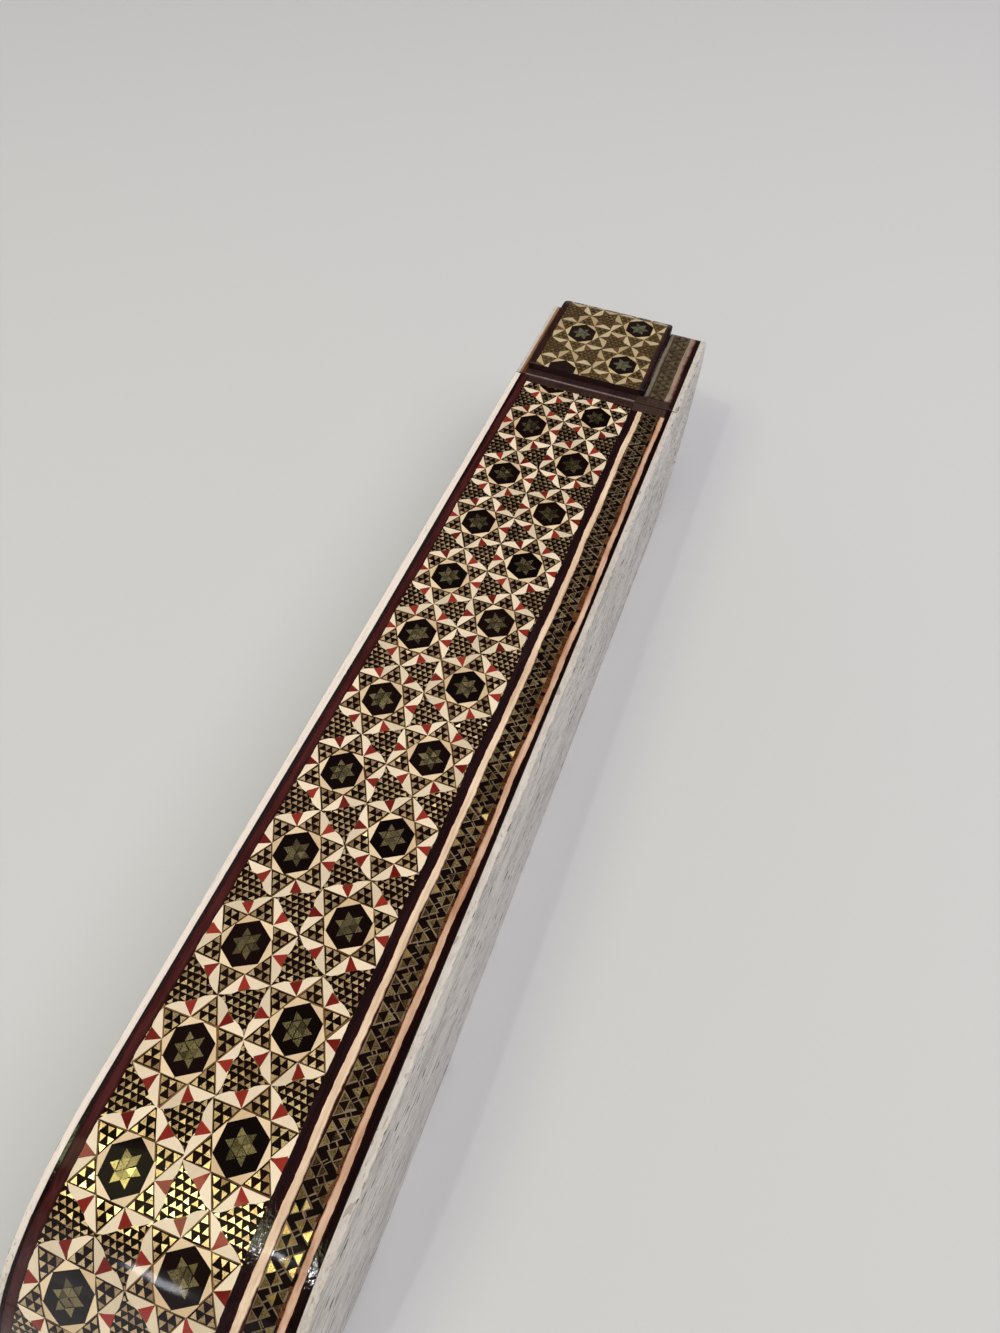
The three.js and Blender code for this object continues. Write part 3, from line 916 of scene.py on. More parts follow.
@dataclass
class BoxShape:
    """The box's side view, with the same sizes as the solids, in millimetres.

    Attributes:
        nose_length: Length of the rounded nose.
        keel_length: Length of the curve under the head.
        keel_fullness: Exponent of that curve.
        corner_length: Length of the head's top corner.
        corner_drop: Height of that corner.
        nose_trim: Where the marquetry ends under the nose, in degrees from the top.
        keel_trim: Where it ends under the head.
        veneer: Thickness of the marquetry and the lines beside it.
        raised_length: Length of the raised block's top corner.
        raised_drop: Height of that corner.
        samples: Points to a curve.
        height: Height of the box.
        nose_tip: Y of the nose's tip.
        head_tip: Y of the head's tip without the raised block.
        head_face: Y where the head starts.
        mouth: Y where the case ends.
        head_proud: How far the raised block stands out.
    """

    nose_length: float = 30.8
    keel_length: float = 38.5
    keel_fullness: float = 1.65
    corner_length: float = 3.2
    corner_drop: float = 5.0
    nose_trim: float = 150.0
    keel_trim: float = 150.0
    veneer: float = 1.6
    raised_length: float = 4.5
    raised_drop: float = 3.0
    samples: int = 160
    height: float = field(init=False)
    nose_tip: float = field(init=False)
    head_tip: float = field(init=False)
    head_face: float = field(init=False)
    mouth: float = field(init=False)
    head_proud: float = field(init=False)

    def __post_init__(self) -> None:
        """Reads the overall places from the solids."""
        case_low, case_high = box_mm("case_right_bone")
        head_low, head_high = box_mm("end_right_bone")
        _, panel_high = box_mm("end_star_panel")
        self.height = case_high[2]
        self.nose_tip = case_low[1]
        self.mouth = case_high[1]
        self.head_face = head_low[1]
        self.head_tip = head_high[1]
        self.head_proud = panel_high[1] - head_high[1]

    def arc(
        self,
        centre: Point,
        reach: float,
        rise: float,
        sign: int,
        start: float,
        end: float,
        fullness: float = 2.0,
    ) -> np.ndarray:
        """Samples a stretch of a superellipse in the side view.

        Args:
            centre: Its middle, as Y and Z.
            reach: Half its length.
            rise: Half its height.
            sign: 1 towards the head, -1 towards the nose.
            start: First angle in degrees, 0 at the top and 90 at the tip.
            end: Last angle.
            fullness: Exponent, 2 for an ellipse.

        Returns:
            Rows of Y, Z and the normal's Y and Z.
        """
        turn = np.radians(np.linspace(start, end, self.samples))
        power = 2 / fullness
        along = np.abs(np.sin(turn)) ** power
        up = np.sign(np.cos(turn)) * np.abs(np.cos(turn)) ** power
        normal_y = sign * along ** (fullness - 1) / reach
        normal_z = np.sign(up) * np.abs(up) ** (fullness - 1) / rise
        length = np.hypot(normal_y, normal_z)
        y, z = centre[0] + sign * reach * along, centre[1] + rise * up
        return np.stack([y, z, normal_y / length, normal_z / length])

    def nose(self, start: float, end: float) -> np.ndarray:
        """The nose's curve between two angles."""
        half = self.height / 2
        return self.arc((self.nose_tip + self.nose_length, half), self.nose_length, half, -1, start, end)

    def corner(self) -> np.ndarray:
        """The head's rounded top corner."""
        centre = (self.head_tip - self.corner_length, self.height - self.corner_drop)
        return self.arc(centre, self.corner_length, self.corner_drop, 1, 0, 90)

    def keel(self, start: float, end: float) -> np.ndarray:
        """The curve under the head between two angles."""
        rise = self.height - self.corner_drop
        centre = (self.head_tip - self.keel_length, rise)
        return self.arc(centre, self.keel_length, rise, 1, start, end, self.keel_fullness)

    def keel_angle(self, y: float) -> float:
        """Angle at which the keel reaches a place along the box."""
        share = (y - (self.head_tip - self.keel_length)) / self.keel_length
        return 180 - math.degrees(math.asin(share ** (self.keel_fullness / 2)))

    def case_top(self) -> Contour:
        """The line that the case's marquetry follows."""
        curve = self.nose(0, self.nose_trim)
        return Contour(curve, curve[:2] - curve[2:] * self.veneer, self.nose_tip + self.nose_length, -1)

    def head_top(self) -> Contour:
        """The line that the head's level strips follow."""
        curve = np.concatenate([self.corner(), self.keel(90, self.keel_trim)[:, 1:]], axis=1)
        return Contour(curve, curve[:2] - curve[2:] * self.veneer, self.head_tip - self.corner_length, 1)

    def head_raised(self) -> Contour:
        """The line that the head's raised block follows.

        Returns:
            The line, with a tighter corner of its own and the same underside as the level strips.
        """
        tip = self.head_tip + self.head_proud
        centre = (tip - self.raised_length, self.height + self.head_proud - self.raised_drop)
        keel = self.keel(90, self.keel_trim)
        below = keel.copy()
        below[:2] += below[2:] * self.head_proud
        corner = self.arc(centre, self.raised_length, self.raised_drop, 1, 0, 90)
        outer = np.concatenate([corner, below], axis=1)
        level = np.concatenate([self.corner(), keel], axis=1)
        return Contour(outer, level[:2] - level[2:] * self.veneer, centre[0], 1)

    def case_side(self) -> Outline:
        """The whole side outline of the case, from the mouth's top round the nose."""
        keel = self.keel(180, self.keel_angle(self.mouth))[:, ::12]
        places = np.concatenate([self.nose(0, 180)[:2, ::2], keel[:2]], axis=1)
        last_z = float(np.interp(self.mouth, places[0, -2:], places[1, -2:]))
        return [(self.mouth, self.height), *map(tuple, places.T[:-1]), (self.mouth, last_z)]

    def head_side(self) -> Outline:
        """The whole side outline of the head, from the seam's top round the tip."""
        keel = self.keel(90, self.keel_angle(self.head_face))[:, 1:]
        places = np.concatenate([self.corner()[:2, ::8], keel[:2]], axis=1)
        last_z = float(places[1, -1])
        return [(self.head_face, self.height), *map(tuple, places.T[:-1]), (self.head_face, last_z)]


BOW = (
    (-85.0, 0.0),
    (-60.0, 0.05),
    (-42.0, 0.18),
    (-25.0, 0.32),
    (0.0, 0.68),
    (20.0, 0.58),
    (40.0, 0.46),
    (60.0, 0.4),
    (82.0, 0.2),
)
LEFT_EDGE_BOW = 0.9
CORNER_STEP = 15


def bowed(run: float) -> float:
    """How far the case's lines lie to the right of straight at a run."""
    return float(np.interp(run, *zip(*BOW)))


def wave(run: float, seed: int, waves: Sequence[Point]) -> float:
    """Adds up a few waves that never repeat together.

    Args:
        run: Where they are read.
        seed: Shifts them.
        waves: Length and height of each, in millimetres.

    Returns:
        The sum.
    """
    turns = (run / length * math.tau + seed * (1.7 + 1.3 * i) for i, (length, _) in enumerate(waves))
    return sum(height * math.sin(turn) for (_, height), turn in zip(waves, turns))


@dataclass(frozen=True)
class SawnEdge:
    """The hand-sawn line between two strips, which wanders a little.

    Attributes:
        x: Where the line runs.
        wander: How far it strays.
        seed: Which wandering it has.
        drift: Which slow wandering it shares with its neighbours.
        bow: How much it follows the bow of the case's lines.
    """

    SLOW_WAVES = ((61.0, 0.9), (27.0, 0.7), (14.0, 0.4))
    OWN_WAVES = ((23.0, 0.4), (9.0, 0.3), (3.9, 0.24), (1.9, 0.2), (1.15, 0.14))

    x: float
    wander: float = 0.1
    seed: int = 0
    drift: int = 0
    bow: float = 0.0

    def at(self, run: float) -> float:
        """Place across the box at a run."""
        strayed = wave(run, self.drift, self.SLOW_WAVES) + wave(run, self.seed, self.OWN_WAVES)
        return self.x + self.wander * strayed + self.bow * bowed(run)


@dataclass(frozen=True)
class TurnedInEdge:
    """The outer side of the head's raised block, whose far corner is rounded as seen from above.

    Attributes:
        x: Where the side runs.
        side: 1 where the block lies on its right, -1 on its left.
        contour: The line that the block follows.
        inward: How far the corner draws the side in.
        along: Length of the corner.
        before_tip: How far short of the tip it ends.
    """

    x: float
    side: int
    contour: Contour
    inward: float = 1.3
    along: float = 2.6
    before_tip: float = 1.2

    def at(self, run: float) -> float:
        """Place across the box at a run."""
        start = self.contour.tip - self.before_tip - self.along
        share = min(1.0, max(0.0, (self.contour.at(run)[0] - start) / self.along))
        return self.x + self.side * self.inward * (1 - math.sqrt(1 - share**2))


Sides = tuple[SawnEdge | TurnedInEdge, SawnEdge | TurnedInEdge]


class Window(NamedTuple):
    """The stretch of a sheet that a pattern fills, in millimetres.

    Attributes:
        low: Its lower run.
        high: Its higher run.
        left: X of its left edge.
        right: X of its right edge.
    """

    low: float
    high: float
    left: float
    right: float

    def middle(self) -> float:
        """X halfway between its edges."""
        return (self.left + self.right) / 2


class BentSheet:
    """A part of the top that is bent along a contour, between two edges."""

    def __init__(self, name: str, contour: Contour, sides: Sides, first: float, last: float) -> None:
        """Sets the sheet out.

        Args:
            name: Name of the piece.
            contour: The line that it follows.
            sides: Its left and right edge.
            first: Run where it starts.
            last: Run where it ends.
        """
        self.name = name
        self.contour = contour
        self.left, self.right = sides
        self.low, self.high = sorted((first, last))

    def window(self) -> Window:
        """The stretch that a pattern has to fill."""
        return Window(self.low, self.high, self.left.x, self.right.x)


class SectionPoint(NamedTuple):
    """One point of a strip's cross-section.

    Attributes:
        share: How far across the strip it is, 0 to 1.
        offset: How far to the right of that, in millimetres.
        depth: How far under the surface.
        lean: How far the normal leans to the right there, 0 to 1.
    """

    share: float
    offset: float = 0.0
    depth: float = 0.0
    lean: float = 0.0


class Strip(BentSheet):
    """One line or border of the top."""

    EDGE_RADIUS = 0.06
    STEP = 0.45
    COLUMNS = 4

    def section(self) -> list[SectionPoint]:
        """The strip's cross-section, from left to right."""
        radius = self.EDGE_RADIUS
        left = []
        for inward, lean in ((0.0, 1.0), (radius * 0.3, 0.7), (radius, 0.0)):
            depth = radius - math.sqrt(max(0.0, radius**2 - (radius - inward) ** 2))
            left.append(SectionPoint(0.0, inward, depth, -lean))
        right = [SectionPoint(1.0, -point.offset, point.depth, -point.lean) for point in reversed(left)]
        return [*left, *(SectionPoint(i / self.COLUMNS) for i in range(1, self.COLUMNS)), *right]

    def build(self, material: Material) -> Piece:
        """Makes the strip's mesh.

        Args:
            material: Its finish.

        Returns:
            The object.
        """
        sheet = Sheet(self.name)
        section = self.section()
        runs = self.contour.steps(self.low, self.high, self.STEP, self.STEP)
        shares = [0.0, *(point.share for point in section), 1.0]
        rows = []
        for run in runs:
            low, high = self.left.at(run), self.right.at(run)
            row = [self.contour.under(low, run)]
            for point in section:
                x = low + point.share * (high - low) + point.offset
                row.append(self.contour.point(x, run, point.depth))
            row.append(self.contour.under(high, run))
            rows.append(sheet.add_points(row, shares))
        for starts, places in zip(pairwise(rows), pairwise(runs)):
            self.add_row(sheet, section, starts, places)
        sheet.add_face([rows[0] + i for i in range(len(shares))])
        sheet.add_face([rows[-1] + i for i in reversed(range(len(shares)))])
        return sheet.finish([material])

    def add_row(
        self,
        sheet: Sheet,
        section: list[SectionPoint],
        starts: tuple[int, int],
        runs: tuple[float, float],
    ) -> None:
        """Joins two cross-sections with faces.

        Args:
            sheet: The mesh.
            section: The cross-section.
            starts: First point of the lower and of the higher row.
            runs: Their runs.
        """
        start, end = starts

        def normal(run: float, lean: float) -> np.ndarray:
            """The normal at a corner, leant to the side."""
            upright = np.array(self.contour.normal(run)) * math.sqrt(max(0.0, 1 - lean**2))
            return upright + np.array([lean, 0.0, 0.0])

        for i, (left, right) in enumerate(pairwise(section), 1):
            corners = [start + i, start + i + 1, end + i + 1, end + i]
            places = ((runs[0], left), (runs[0], right), (runs[1], right), (runs[1], left))
            sheet.add_face(corners, [normal(run, point.lean) for run, point in places])
        last = len(section)
        sheet.add_face([start, start + 1, end + 1, end])
        sheet.add_face([start + last, start + last + 1, end + last + 1, end + last])
        sheet.add_face([start, end, end + last + 1, start + last + 1])


class Layer(IntEnum):
    """How high a tile lies. One of a higher layer covers those of a lower one."""

    BASE = 1
    GROUND = 2
    FRAME = 3
    STONE = 4
    UPPER = 5
    WEDGE = 6
    STAR = 7


class Tile(NamedTuple):
    """One tile of a marquetry pattern.

    Attributes:
        inlay: What it is made of.
        layer: How high it lies.
        outline: Its corners, across and along, in millimetres.
    """

    inlay: Inlay
    layer: Layer
    outline: Outline


# What a part of a rosette is made of, how high it lies, and its corners in shares of the pitch.
RosettePart = tuple[Inlay, Layer, Corners]


def polar(radius: float, degrees: float) -> Corner:
    """A point at a distance and an angle from the middle."""
    turn = math.radians(degrees)
    return np.array([radius * math.cos(turn), radius * math.sin(turn)])


def anticlockwise(outline: Sequence[Point]) -> Outline:
    """Turns an outline round if it runs clockwise.

    Args:
        outline: The outline.

    Returns:
        The same corners, anticlockwise.
    """
    ring = [(float(x), float(y)) for x, y in outline]
    area = sum(a[0] * b[1] - a[1] * b[0] for a, b in zip(ring, [*ring[1:], ring[0]]))
    return ring if area > 0 else ring[::-1]


def shrink(corners: Sequence[Corner], by: float) -> Corners:
    """Moves a convex outline's sides inwards.

    Args:
        corners: The corners, anticlockwise.
        by: How far the sides move.

    Returns:
        The new corners.
    """
    moved = []
    count = len(corners)
    for i in range(count):
        before, here, after = corners[i - 1], corners[i], corners[(i + 1) % count]
        first = (here - before) / np.linalg.norm(here - before)
        second = (after - here) / np.linalg.norm(after - here)
        inward_a = np.array([-first[1], first[0]])
        inward_b = np.array([-second[1], second[0]])
        mean = inward_a + inward_b
        moved.append(here + mean * by / max(0.25, 1 + float(inward_a @ inward_b)))
    return moved


def hand_cut(corners: Sequence[Corner], chance: random.Random, stray: float) -> Corners:
    """Gives a tile the small errors of a hand cut, and keeps its sides from crossing.

    Args:
        corners: The tile's corners.
        chance: Source of the errors.
        stray: Their usual size, in millimetres.

    Returns:
        The new corners.
    """
    shortest = min(float(np.linalg.norm(corners[i] - corners[i - 1])) for i in range(len(corners)))
    limit = shortest * 0.22
    shift = np.array([chance.gauss(0, stray * 0.6), chance.gauss(0, stray * 0.6)])

    def error() -> float:
        """One corner's error in one direction."""
        return max(-limit, min(limit, chance.gauss(0, stray)))

    return [corner + shift + np.array([error(), error()]) for corner in corners]


def hand_cut_tile(
    inlay: Inlay,
    layer: Layer,
    ring: Corners,
    chance: random.Random,
    stray: float = 0.05,
) -> Tile:
    """One tile with its corners strayed."""
    return Tile(inlay, layer, [(p[0], p[1]) for p in hand_cut(ring, chance, stray)])


def beside(base: Corner, tip: Corner, along: float, out: float, side: int) -> Corner:
    """A point beside the line from a petal's base to its tip.

    Args:
        base: Where the petal starts.
        tip: Where it ends.
        along: Share of the way.
        out: How far to the side, in shares of the pitch.
        side: 1 for the right of the line, -1 for the left.

    Returns:
        The point.
    """
    way = tip - base
    direction = way / np.linalg.norm(way)
    aside = np.array([direction[1], -direction[0]]) * side
    return base + way * along + aside * out


@dataclass
class Rosette:
    """A twelve-petalled star round a black hexagon, in shares of the pitch.

    Attributes:
        star_radius: Reach of the brass star's points.
        star_waist: Reach of the notches between them.
        hexagon_radius: Reach of the black hexagon's corners.
        collar_radius: Reach of the points of the bone collar round the hexagon.
        tip_radius: Reach of the six triangles' tips.
        petal_place: Where on its length a petal is widest.
        petal_width: How wide it is there.
        wedge_foot: Reach of the feet of the red wedges between the petals.
        wedge_spread: How far a foot lies to the side, in degrees.
        line: Width of the glue lines between the tiles.
        rows: Rows of small triangles in each of the six triangles.
    """

    star_radius: float = 0.16
    star_waist: float = 0.09
    hexagon_radius: float = 0.245
    collar_radius: float = 0.2887
    tip_radius: float = 0.5
    petal_place: float = 0.41
    petal_width: float = 0.102
    wedge_foot: float = 0.437
    wedge_spread: float = 8.3
    line: float = 0.0045
    rows: int = 3

    def tiles(self) -> list[RosettePart]:
        """The rosette's tiles, with the middle at zero.

        Returns:
            What each is made of, its layer and its corners.
        """
        made = [(Inlay.OLIVE, Layer.GROUND, self.body()), *self.collar(), *self.star()]
        for k in range(6):
            apex = polar(self.collar_radius, 60 * k)
            after = polar(self.collar_radius, 60 * k + 60)
            tip = polar(self.tip_radius, 60 * k + 30)
            last_tip = polar(self.tip_radius, 60 * k - 30)
            made += self.studded([apex, tip, after])
            made.append((Inlay.BONE, Layer.UPPER, self.petal(apex, tip, 1)))
            made.append((Inlay.BONE, Layer.UPPER, self.petal(apex, last_tip, -1)))
            made.append((Inlay.RED, Layer.WEDGE, self.wedge(60 * k)))
        return made

    def collar(self) -> list[RosettePart]:
        """The black hexagon and the bone pieces round it."""
        hexagon = [polar(self.hexagon_radius, 30 + 60 * k) for k in range(6)]
        made = [(Inlay.JET, Layer.STONE, hexagon)]
        middle = self.collar_radius * math.cos(math.radians(30))
        for k in range(6):
            corners = [
                polar(self.hexagon_radius * 0.9, 60 * k - 30),
                polar(middle, 60 * k - 30),
                polar(self.collar_radius, 60 * k),
                polar(middle, 60 * k + 30),
                polar(self.hexagon_radius * 0.9, 60 * k + 30),
            ]
            made.append((Inlay.WARM_BONE, Layer.FRAME, shrink(corners, self.line * 0.5)))
        return made

    def petal(self, base: Corner, tip: Corner, side: int) -> Corners:
        """A petal along one side of a studded triangle.

        Args:
            base: Where it starts.
            tip: Where it ends.
            side: Which side of the line it lies on.

        Returns:
            Its corners.
        """
        width = self.petal_width
        shape = [
            (0.012, self.line * 0.5),
            (0.2, width * 0.54),
            (self.petal_place, width),
            (0.62, width * 0.82),
            (0.84, width * 0.42),
            (0.985, self.line * 0.5),
        ]
        return [beside(base, tip, along, out, side) for along, out in shape]

    def wedge(self, degrees: float) -> Corners:
        """The red triangle between two petals.

        Args:
            degrees: Which way it points away from the middle.

        Returns:
            Its corners.
        """
        apex = polar(self.collar_radius + self.line * 1.5, degrees)
        feet = (degrees - self.wedge_spread, degrees + self.wedge_spread)
        return [apex, *(polar(self.wedge_foot, turn) for turn in feet)]

    def body(self) -> Corners:
        """The ground that shows as thin lines between the tiles."""
        corners = []
        width = self.petal_width + self.line * 0.6
        flank = ((0.42, width), (0.84, width * 0.46))
        for k in range(6):
            apex = polar(self.collar_radius, 60 * k)
            tip = polar(self.tip_radius + self.line, 60 * k + 30)
            last_tip = polar(self.tip_radius + self.line, 60 * k - 30)
            corners.append(last_tip)
            corners += [beside(apex, last_tip, along, out, -1) for along, out in reversed(flank)]
            corners += [beside(apex, tip, along, out, 1) for along, out in flank]
        return corners

    def star(self) -> list[RosettePart]:
        """The brass star in the hexagon: six points, and six facets between them."""
        made = []
        for k in range(6):
            tip = polar(self.star_radius, 60 * k)
            notch_a = polar(self.star_waist, 60 * k - 30)
            notch_b = polar(self.star_waist, 60 * k + 30)
            point = shrink([notch_a, tip, notch_b], self.line * 0.4)
            facet = shrink([polar(0.0, 0.0), notch_a, notch_b], self.line * 0.3)
            made += [(Inlay.GREY_BRASS, Layer.STAR, corners) for corners in (point, facet)]
        return made

    def studded(self, corners: Corners) -> list[RosettePart]:
        """One of the six triangles: small brass triangles on black, in a thin frame.

        Args:
            corners: The triangle's corners.

        Returns:
            Its tiles.
        """
        base, tip, after = corners
        ring = [base, tip, after] if np.cross(tip - base, after - base) > 0 else [base, after, tip]
        black = shrink(ring, self.line * 1.5)
        made = [(Inlay.EBONY, Layer.FRAME, black)]
        first, second, third = shrink(black, self.line * 0.8)
        step_u, step_v = (second - first) / self.rows, (third - first) / self.rows
        for row in range(self.rows):
            for column in range(self.rows - row):
                corner = first + step_u * column + step_v * row
                small = [corner, corner + step_u, corner + step_v]
                made.append((Inlay.BRASS, Layer.STONE, shrink(small, self.line * 1.1)))
        return made


@dataclass
class StarField:
    """Two staggered columns of rosettes, with small triangles between them.

    Attributes:
        pitch: Distance from rosette to rosette.
        row_zero: Run of the first rosette in the right column.
        middle: X of the middle between the columns.
        stagger: How far the left column is set back, in pitches.
        slack: How far the last rows were shifted to meet the seam.
        slack_from: Run where that shift starts.
        slack_to: Run where it is complete.
        seed: Of the hand's small errors.
        studs_per_pitch: Small triangles to a pitch.
        jitter: How far corners stray, in millimetres.
        rosette: The rosette.
    """

    SIZE_ERROR = (-0.012, 0.006)
    TURN_ERROR = 1.6
    SIDE_ERROR = 0.07
    RUN_ERROR = 0.09
    STUD_GAP = 0.1
    STUD_JITTER = 0.06
    STUD_CLEARANCE = 0.06
    CUT_THROUGH = 0.06

    pitch: float
    row_zero: float
    middle: float
    stagger: float = 0.493
    slack: float = 0.0
    slack_from: float = 0.0
    slack_to: float = 1.0
    seed: int = 1
    studs_per_pitch: float = 13.85
    jitter: float = 0.05
    rosette: Rosette = field(default_factory=Rosette)

    def shifted(self, run: float) -> float:
        """Moves a run by the slack that was taken up near the seam."""
        if not self.slack:
            return run
        share = min(1.0, max(0.0, (run - self.slack_from) / (self.slack_to - self.slack_from)))
        return run + self.slack * share * share * (3 - 2 * share)

    def centres(self, low: float, high: float) -> list[Point]:
        """Middles of the rosettes that reach into a stretch.

        Args:
            low: Lower run.
            high: Higher run.

        Returns:
            The middles, across and along.
        """
        half = self.pitch * math.sqrt(3) / 4
        found = []
        for x, offset in ((self.middle + half, 0.0), (self.middle - half, -self.stagger)):
            first = math.floor((low - self.row_zero) / self.pitch - offset) - 1
            last = math.ceil((high - self.row_zero) / self.pitch - offset) + 1
            found += [(x, self.row_zero + (k + offset) * self.pitch) for k in range(first, last + 1)]
        return [centre for centre in found if low - self.pitch * 0.6 < centre[1] < high + self.pitch * 0.6]

    def tiles(self, window: Window) -> list[Tile]:
        """All tiles of the field.

        Args:
            window: The stretch that they fill.

        Returns:
            The tiles.
        """
        chance = random.Random(self.seed)
        centres = self.centres(window.low, window.high)
        made = self.studs(window, centres, chance)
        pattern = self.rosette.tiles()
        for x, run in centres:
            size = self.pitch * (1 + chance.uniform(*self.SIZE_ERROR))
            turn = math.radians(chance.uniform(-self.TURN_ERROR, self.TURN_ERROR))
            spin = np.array([[math.cos(turn), -math.sin(turn)], [math.sin(turn), math.cos(turn)]])
            error = np.array([chance.gauss(0, self.SIDE_ERROR), chance.gauss(0, self.RUN_ERROR)])
            middle = np.array([x, run]) + error
            cut_through = abs(self.shifted(run) - window.low) < self.pitch * self.CUT_THROUGH
            for inlay, layer, corners in pattern:
                if layer == Layer.STAR and cut_through:
                    continue
                stray = 0.0 if layer == Layer.GROUND else self.jitter
                placed = hand_cut([spin @ corner * size + middle for corner in corners], chance, stray)
                strayed = [(p[0], self.shifted(p[1])) for p in placed]
                if any(window.low < point[1] < window.high for point in strayed):
                    made.append(Tile(inlay, layer, strayed))
        return made

    def studs(self, window: Window, centres: list[Point], chance: random.Random) -> list[Tile]:
        """The small brass triangles between the rosettes.

        Args:
            window: The stretch that they fill.
            centres: Middles of the rosettes.
            chance: Source of the small errors.

        Returns:
            The tiles.
        """
        side = self.pitch / self.studs_per_pitch
        tall = side * math.sqrt(3) / 2
        gap = side * self.STUD_GAP
        clear = self.pitch * (self.rosette.collar_radius + self.STUD_CLEARANCE)
        columns = range(math.floor(window.left / side) - 1, math.ceil(window.right / side) + 1)
        made = []
        for row in range(math.floor(window.low / tall), math.ceil(window.high / tall)):
            shift = 0.5 * side * (row % 2)
            for column in columns:
                x, run = column * side + shift, row * tall
                middle = (x + side / 2, run + tall / 3)
                near = min((math.dist(middle, centre) for centre in centres), default=side)
                if near < clear:
                    continue
                corners = [
                    (x + gap * 0.6, run + gap * 0.8),
                    (x + side - gap * 0.6, run + gap * 0.4),
                    (x + side * 0.57, run + tall * 0.92 - gap),
                ]
                cut = hand_cut([np.array(corner) for corner in corners], chance, self.STUD_JITTER)
                outline = [(p[0], self.shifted(p[1])) for p in cut]
                made.append(Tile(Inlay.BRASS, Layer.BASE, outline))
        return made


@dataclass
class ZigzagBand:
    """A band of brass triangles from both edges, with a black zigzag between them.

    Attributes:
        period: Distance from triangle to triangle.
        seed: Of the hand's small errors.
        reach: How far the triangles reach across, as a share of the width.
        foot: Half the length of a triangle's foot, as a share of the period.
        glue: Width of the glue line round a triangle, in millimetres.
        red_line: Width of the dark red line along the left edge, in millimetres.
        fringe: Width of the brown fringe along the right edge, in millimetres.
    """

    SHARE_ERROR = 0.03
    TIP_ERROR = 0.12
    LEFT_MARGIN = 0.2
    FRINGE_OVERLAP = 0.55
    BRASS_CHANCE = 0.45
    SPLINTER_CHANCE = 0.75

    period: float = 4.07
    seed: int = 5
    reach: float = 0.72
    foot: float = 0.44
    glue: float = 0.1
    red_line: float = 0.22
    fringe: float = 0.42

    def tiles(self, window: Window) -> list[Tile]:
        """All tiles of the band.

        Args:
            window: The stretch that they fill.

        Returns:
            The tiles.
        """
        chance = random.Random(self.seed)
        made = self.fringes(window, chance)
        left = window.left + self.LEFT_MARGIN
        right = window.right - self.fringe * self.FRINGE_OVERLAP
        width = right - left
        half = self.period * self.foot
        first = math.floor(window.low / self.period) - 1
        last = math.ceil(window.high / self.period) + 1
        for k in range(first, last):
            for edge, way, offset in ((left, 1, 0.0), (right, -1, 0.5)):
                run = (k + offset + chance.gauss(0, self.SHARE_ERROR)) * self.period
                tip = edge + way * width * (self.reach + chance.gauss(0, self.SHARE_ERROR))
                lean = chance.gauss(0, self.TIP_ERROR)
                ring = anticlockwise([(edge, run - half), (tip, run + lean), (edge, run + half)])
                corners = [np.array(point) for point in ring]
                made.append(hand_cut_tile(Inlay.OLIVE, Layer.GROUND, corners, chance))
                made += self.quarters(shrink(corners, self.glue), chance)
                made += self.ribbon(edge, way, run, width, chance)
        return made

    def fringes(self, window: Window, chance: random.Random) -> list[Tile]:
        """The dark red line on the left and the brown splinters on the right.

        Args:
            window: The stretch that they fill.
            chance: Source of the small errors.

        Returns:
            The tiles.
        """
        low, high = window.low - 1, window.high + 1
        outer, inner = window.left - 1, window.left + self.red_line
        line = [(outer, low), (inner, low), (inner, high), (outer, high)]
        made = [Tile(Inlay.RED, Layer.BASE, line)]
        run, outer = window.low, window.right + 1
        while run < window.high:
            end = run + chance.uniform(0.5, 1.5)
            inner = window.right - self.fringe * chance.uniform(0.5, 1.5)
            splinter = [(inner, run), (outer, run - 0.1), (outer, end - 0.1), (inner + 0.1, end - 0.16)]
            if chance.random() < self.SPLINTER_CHANCE:
                made.append(Tile(Inlay.BONE, Layer.FRAME, splinter))
            run = end
        return made

    def ribbon(self, edge: float, way: int, run: float, width: float, chance: random.Random) -> list[Tile]:
        """Thin light lines that cut the black zigzag into pieces.

        Args:
            edge: The row's edge.
            way: 1 for the left row, -1 for the right one.
            run: Run of the triangle that the lines lie beside.
            width: Width between the rows' edges.
            chance: Source of the small errors.

        Returns:
            The tiles.
        """
        made = []
        for side in (-1, 1):
            across = edge + way * width * chance.uniform(0.34, 0.5)
            middle = np.array([across, run + side * self.period * 0.3])
            reach = np.array([way * 0.36, side * 0.34])
            thick = np.array([-reach[1], reach[0]]) * 0.16
            low, high = middle - reach, middle + reach
            corners = [low - thick, high - thick, high + thick, low + thick]
            ring = [np.array(point) for point in anticlockwise(corners)]
            made.append(hand_cut_tile(Inlay.OLIVE, Layer.STONE, ring, chance))
        return made

    def quarters(self, ring: Corners, chance: random.Random) -> list[Tile]:
        """Cuts a triangle into three brass corners and a dark middle.

        Args:
            ring: The triangle's corners.
            chance: Source of the small errors.

        Returns:
            The tiles.
        """
        a, b, c = ring
        ab, bc, ca = (a + b) / 2, (b + c) / 2, (c + a) / 2
        middle = shrink([ab, bc, ca], -0.03)
        made = [hand_cut_tile(Inlay.EBONY, Layer.UPPER, middle, chance, 0.04)]
        for corner in ([a, ab, ca], [ab, b, bc], [ca, bc, c]):
            inlay = Inlay.BRASS if chance.random() < self.BRASS_CHANCE else Inlay.GREY_BRASS
            made.append(hand_cut_tile(inlay, Layer.STONE, shrink(corner, 0.07), chance))
        return made


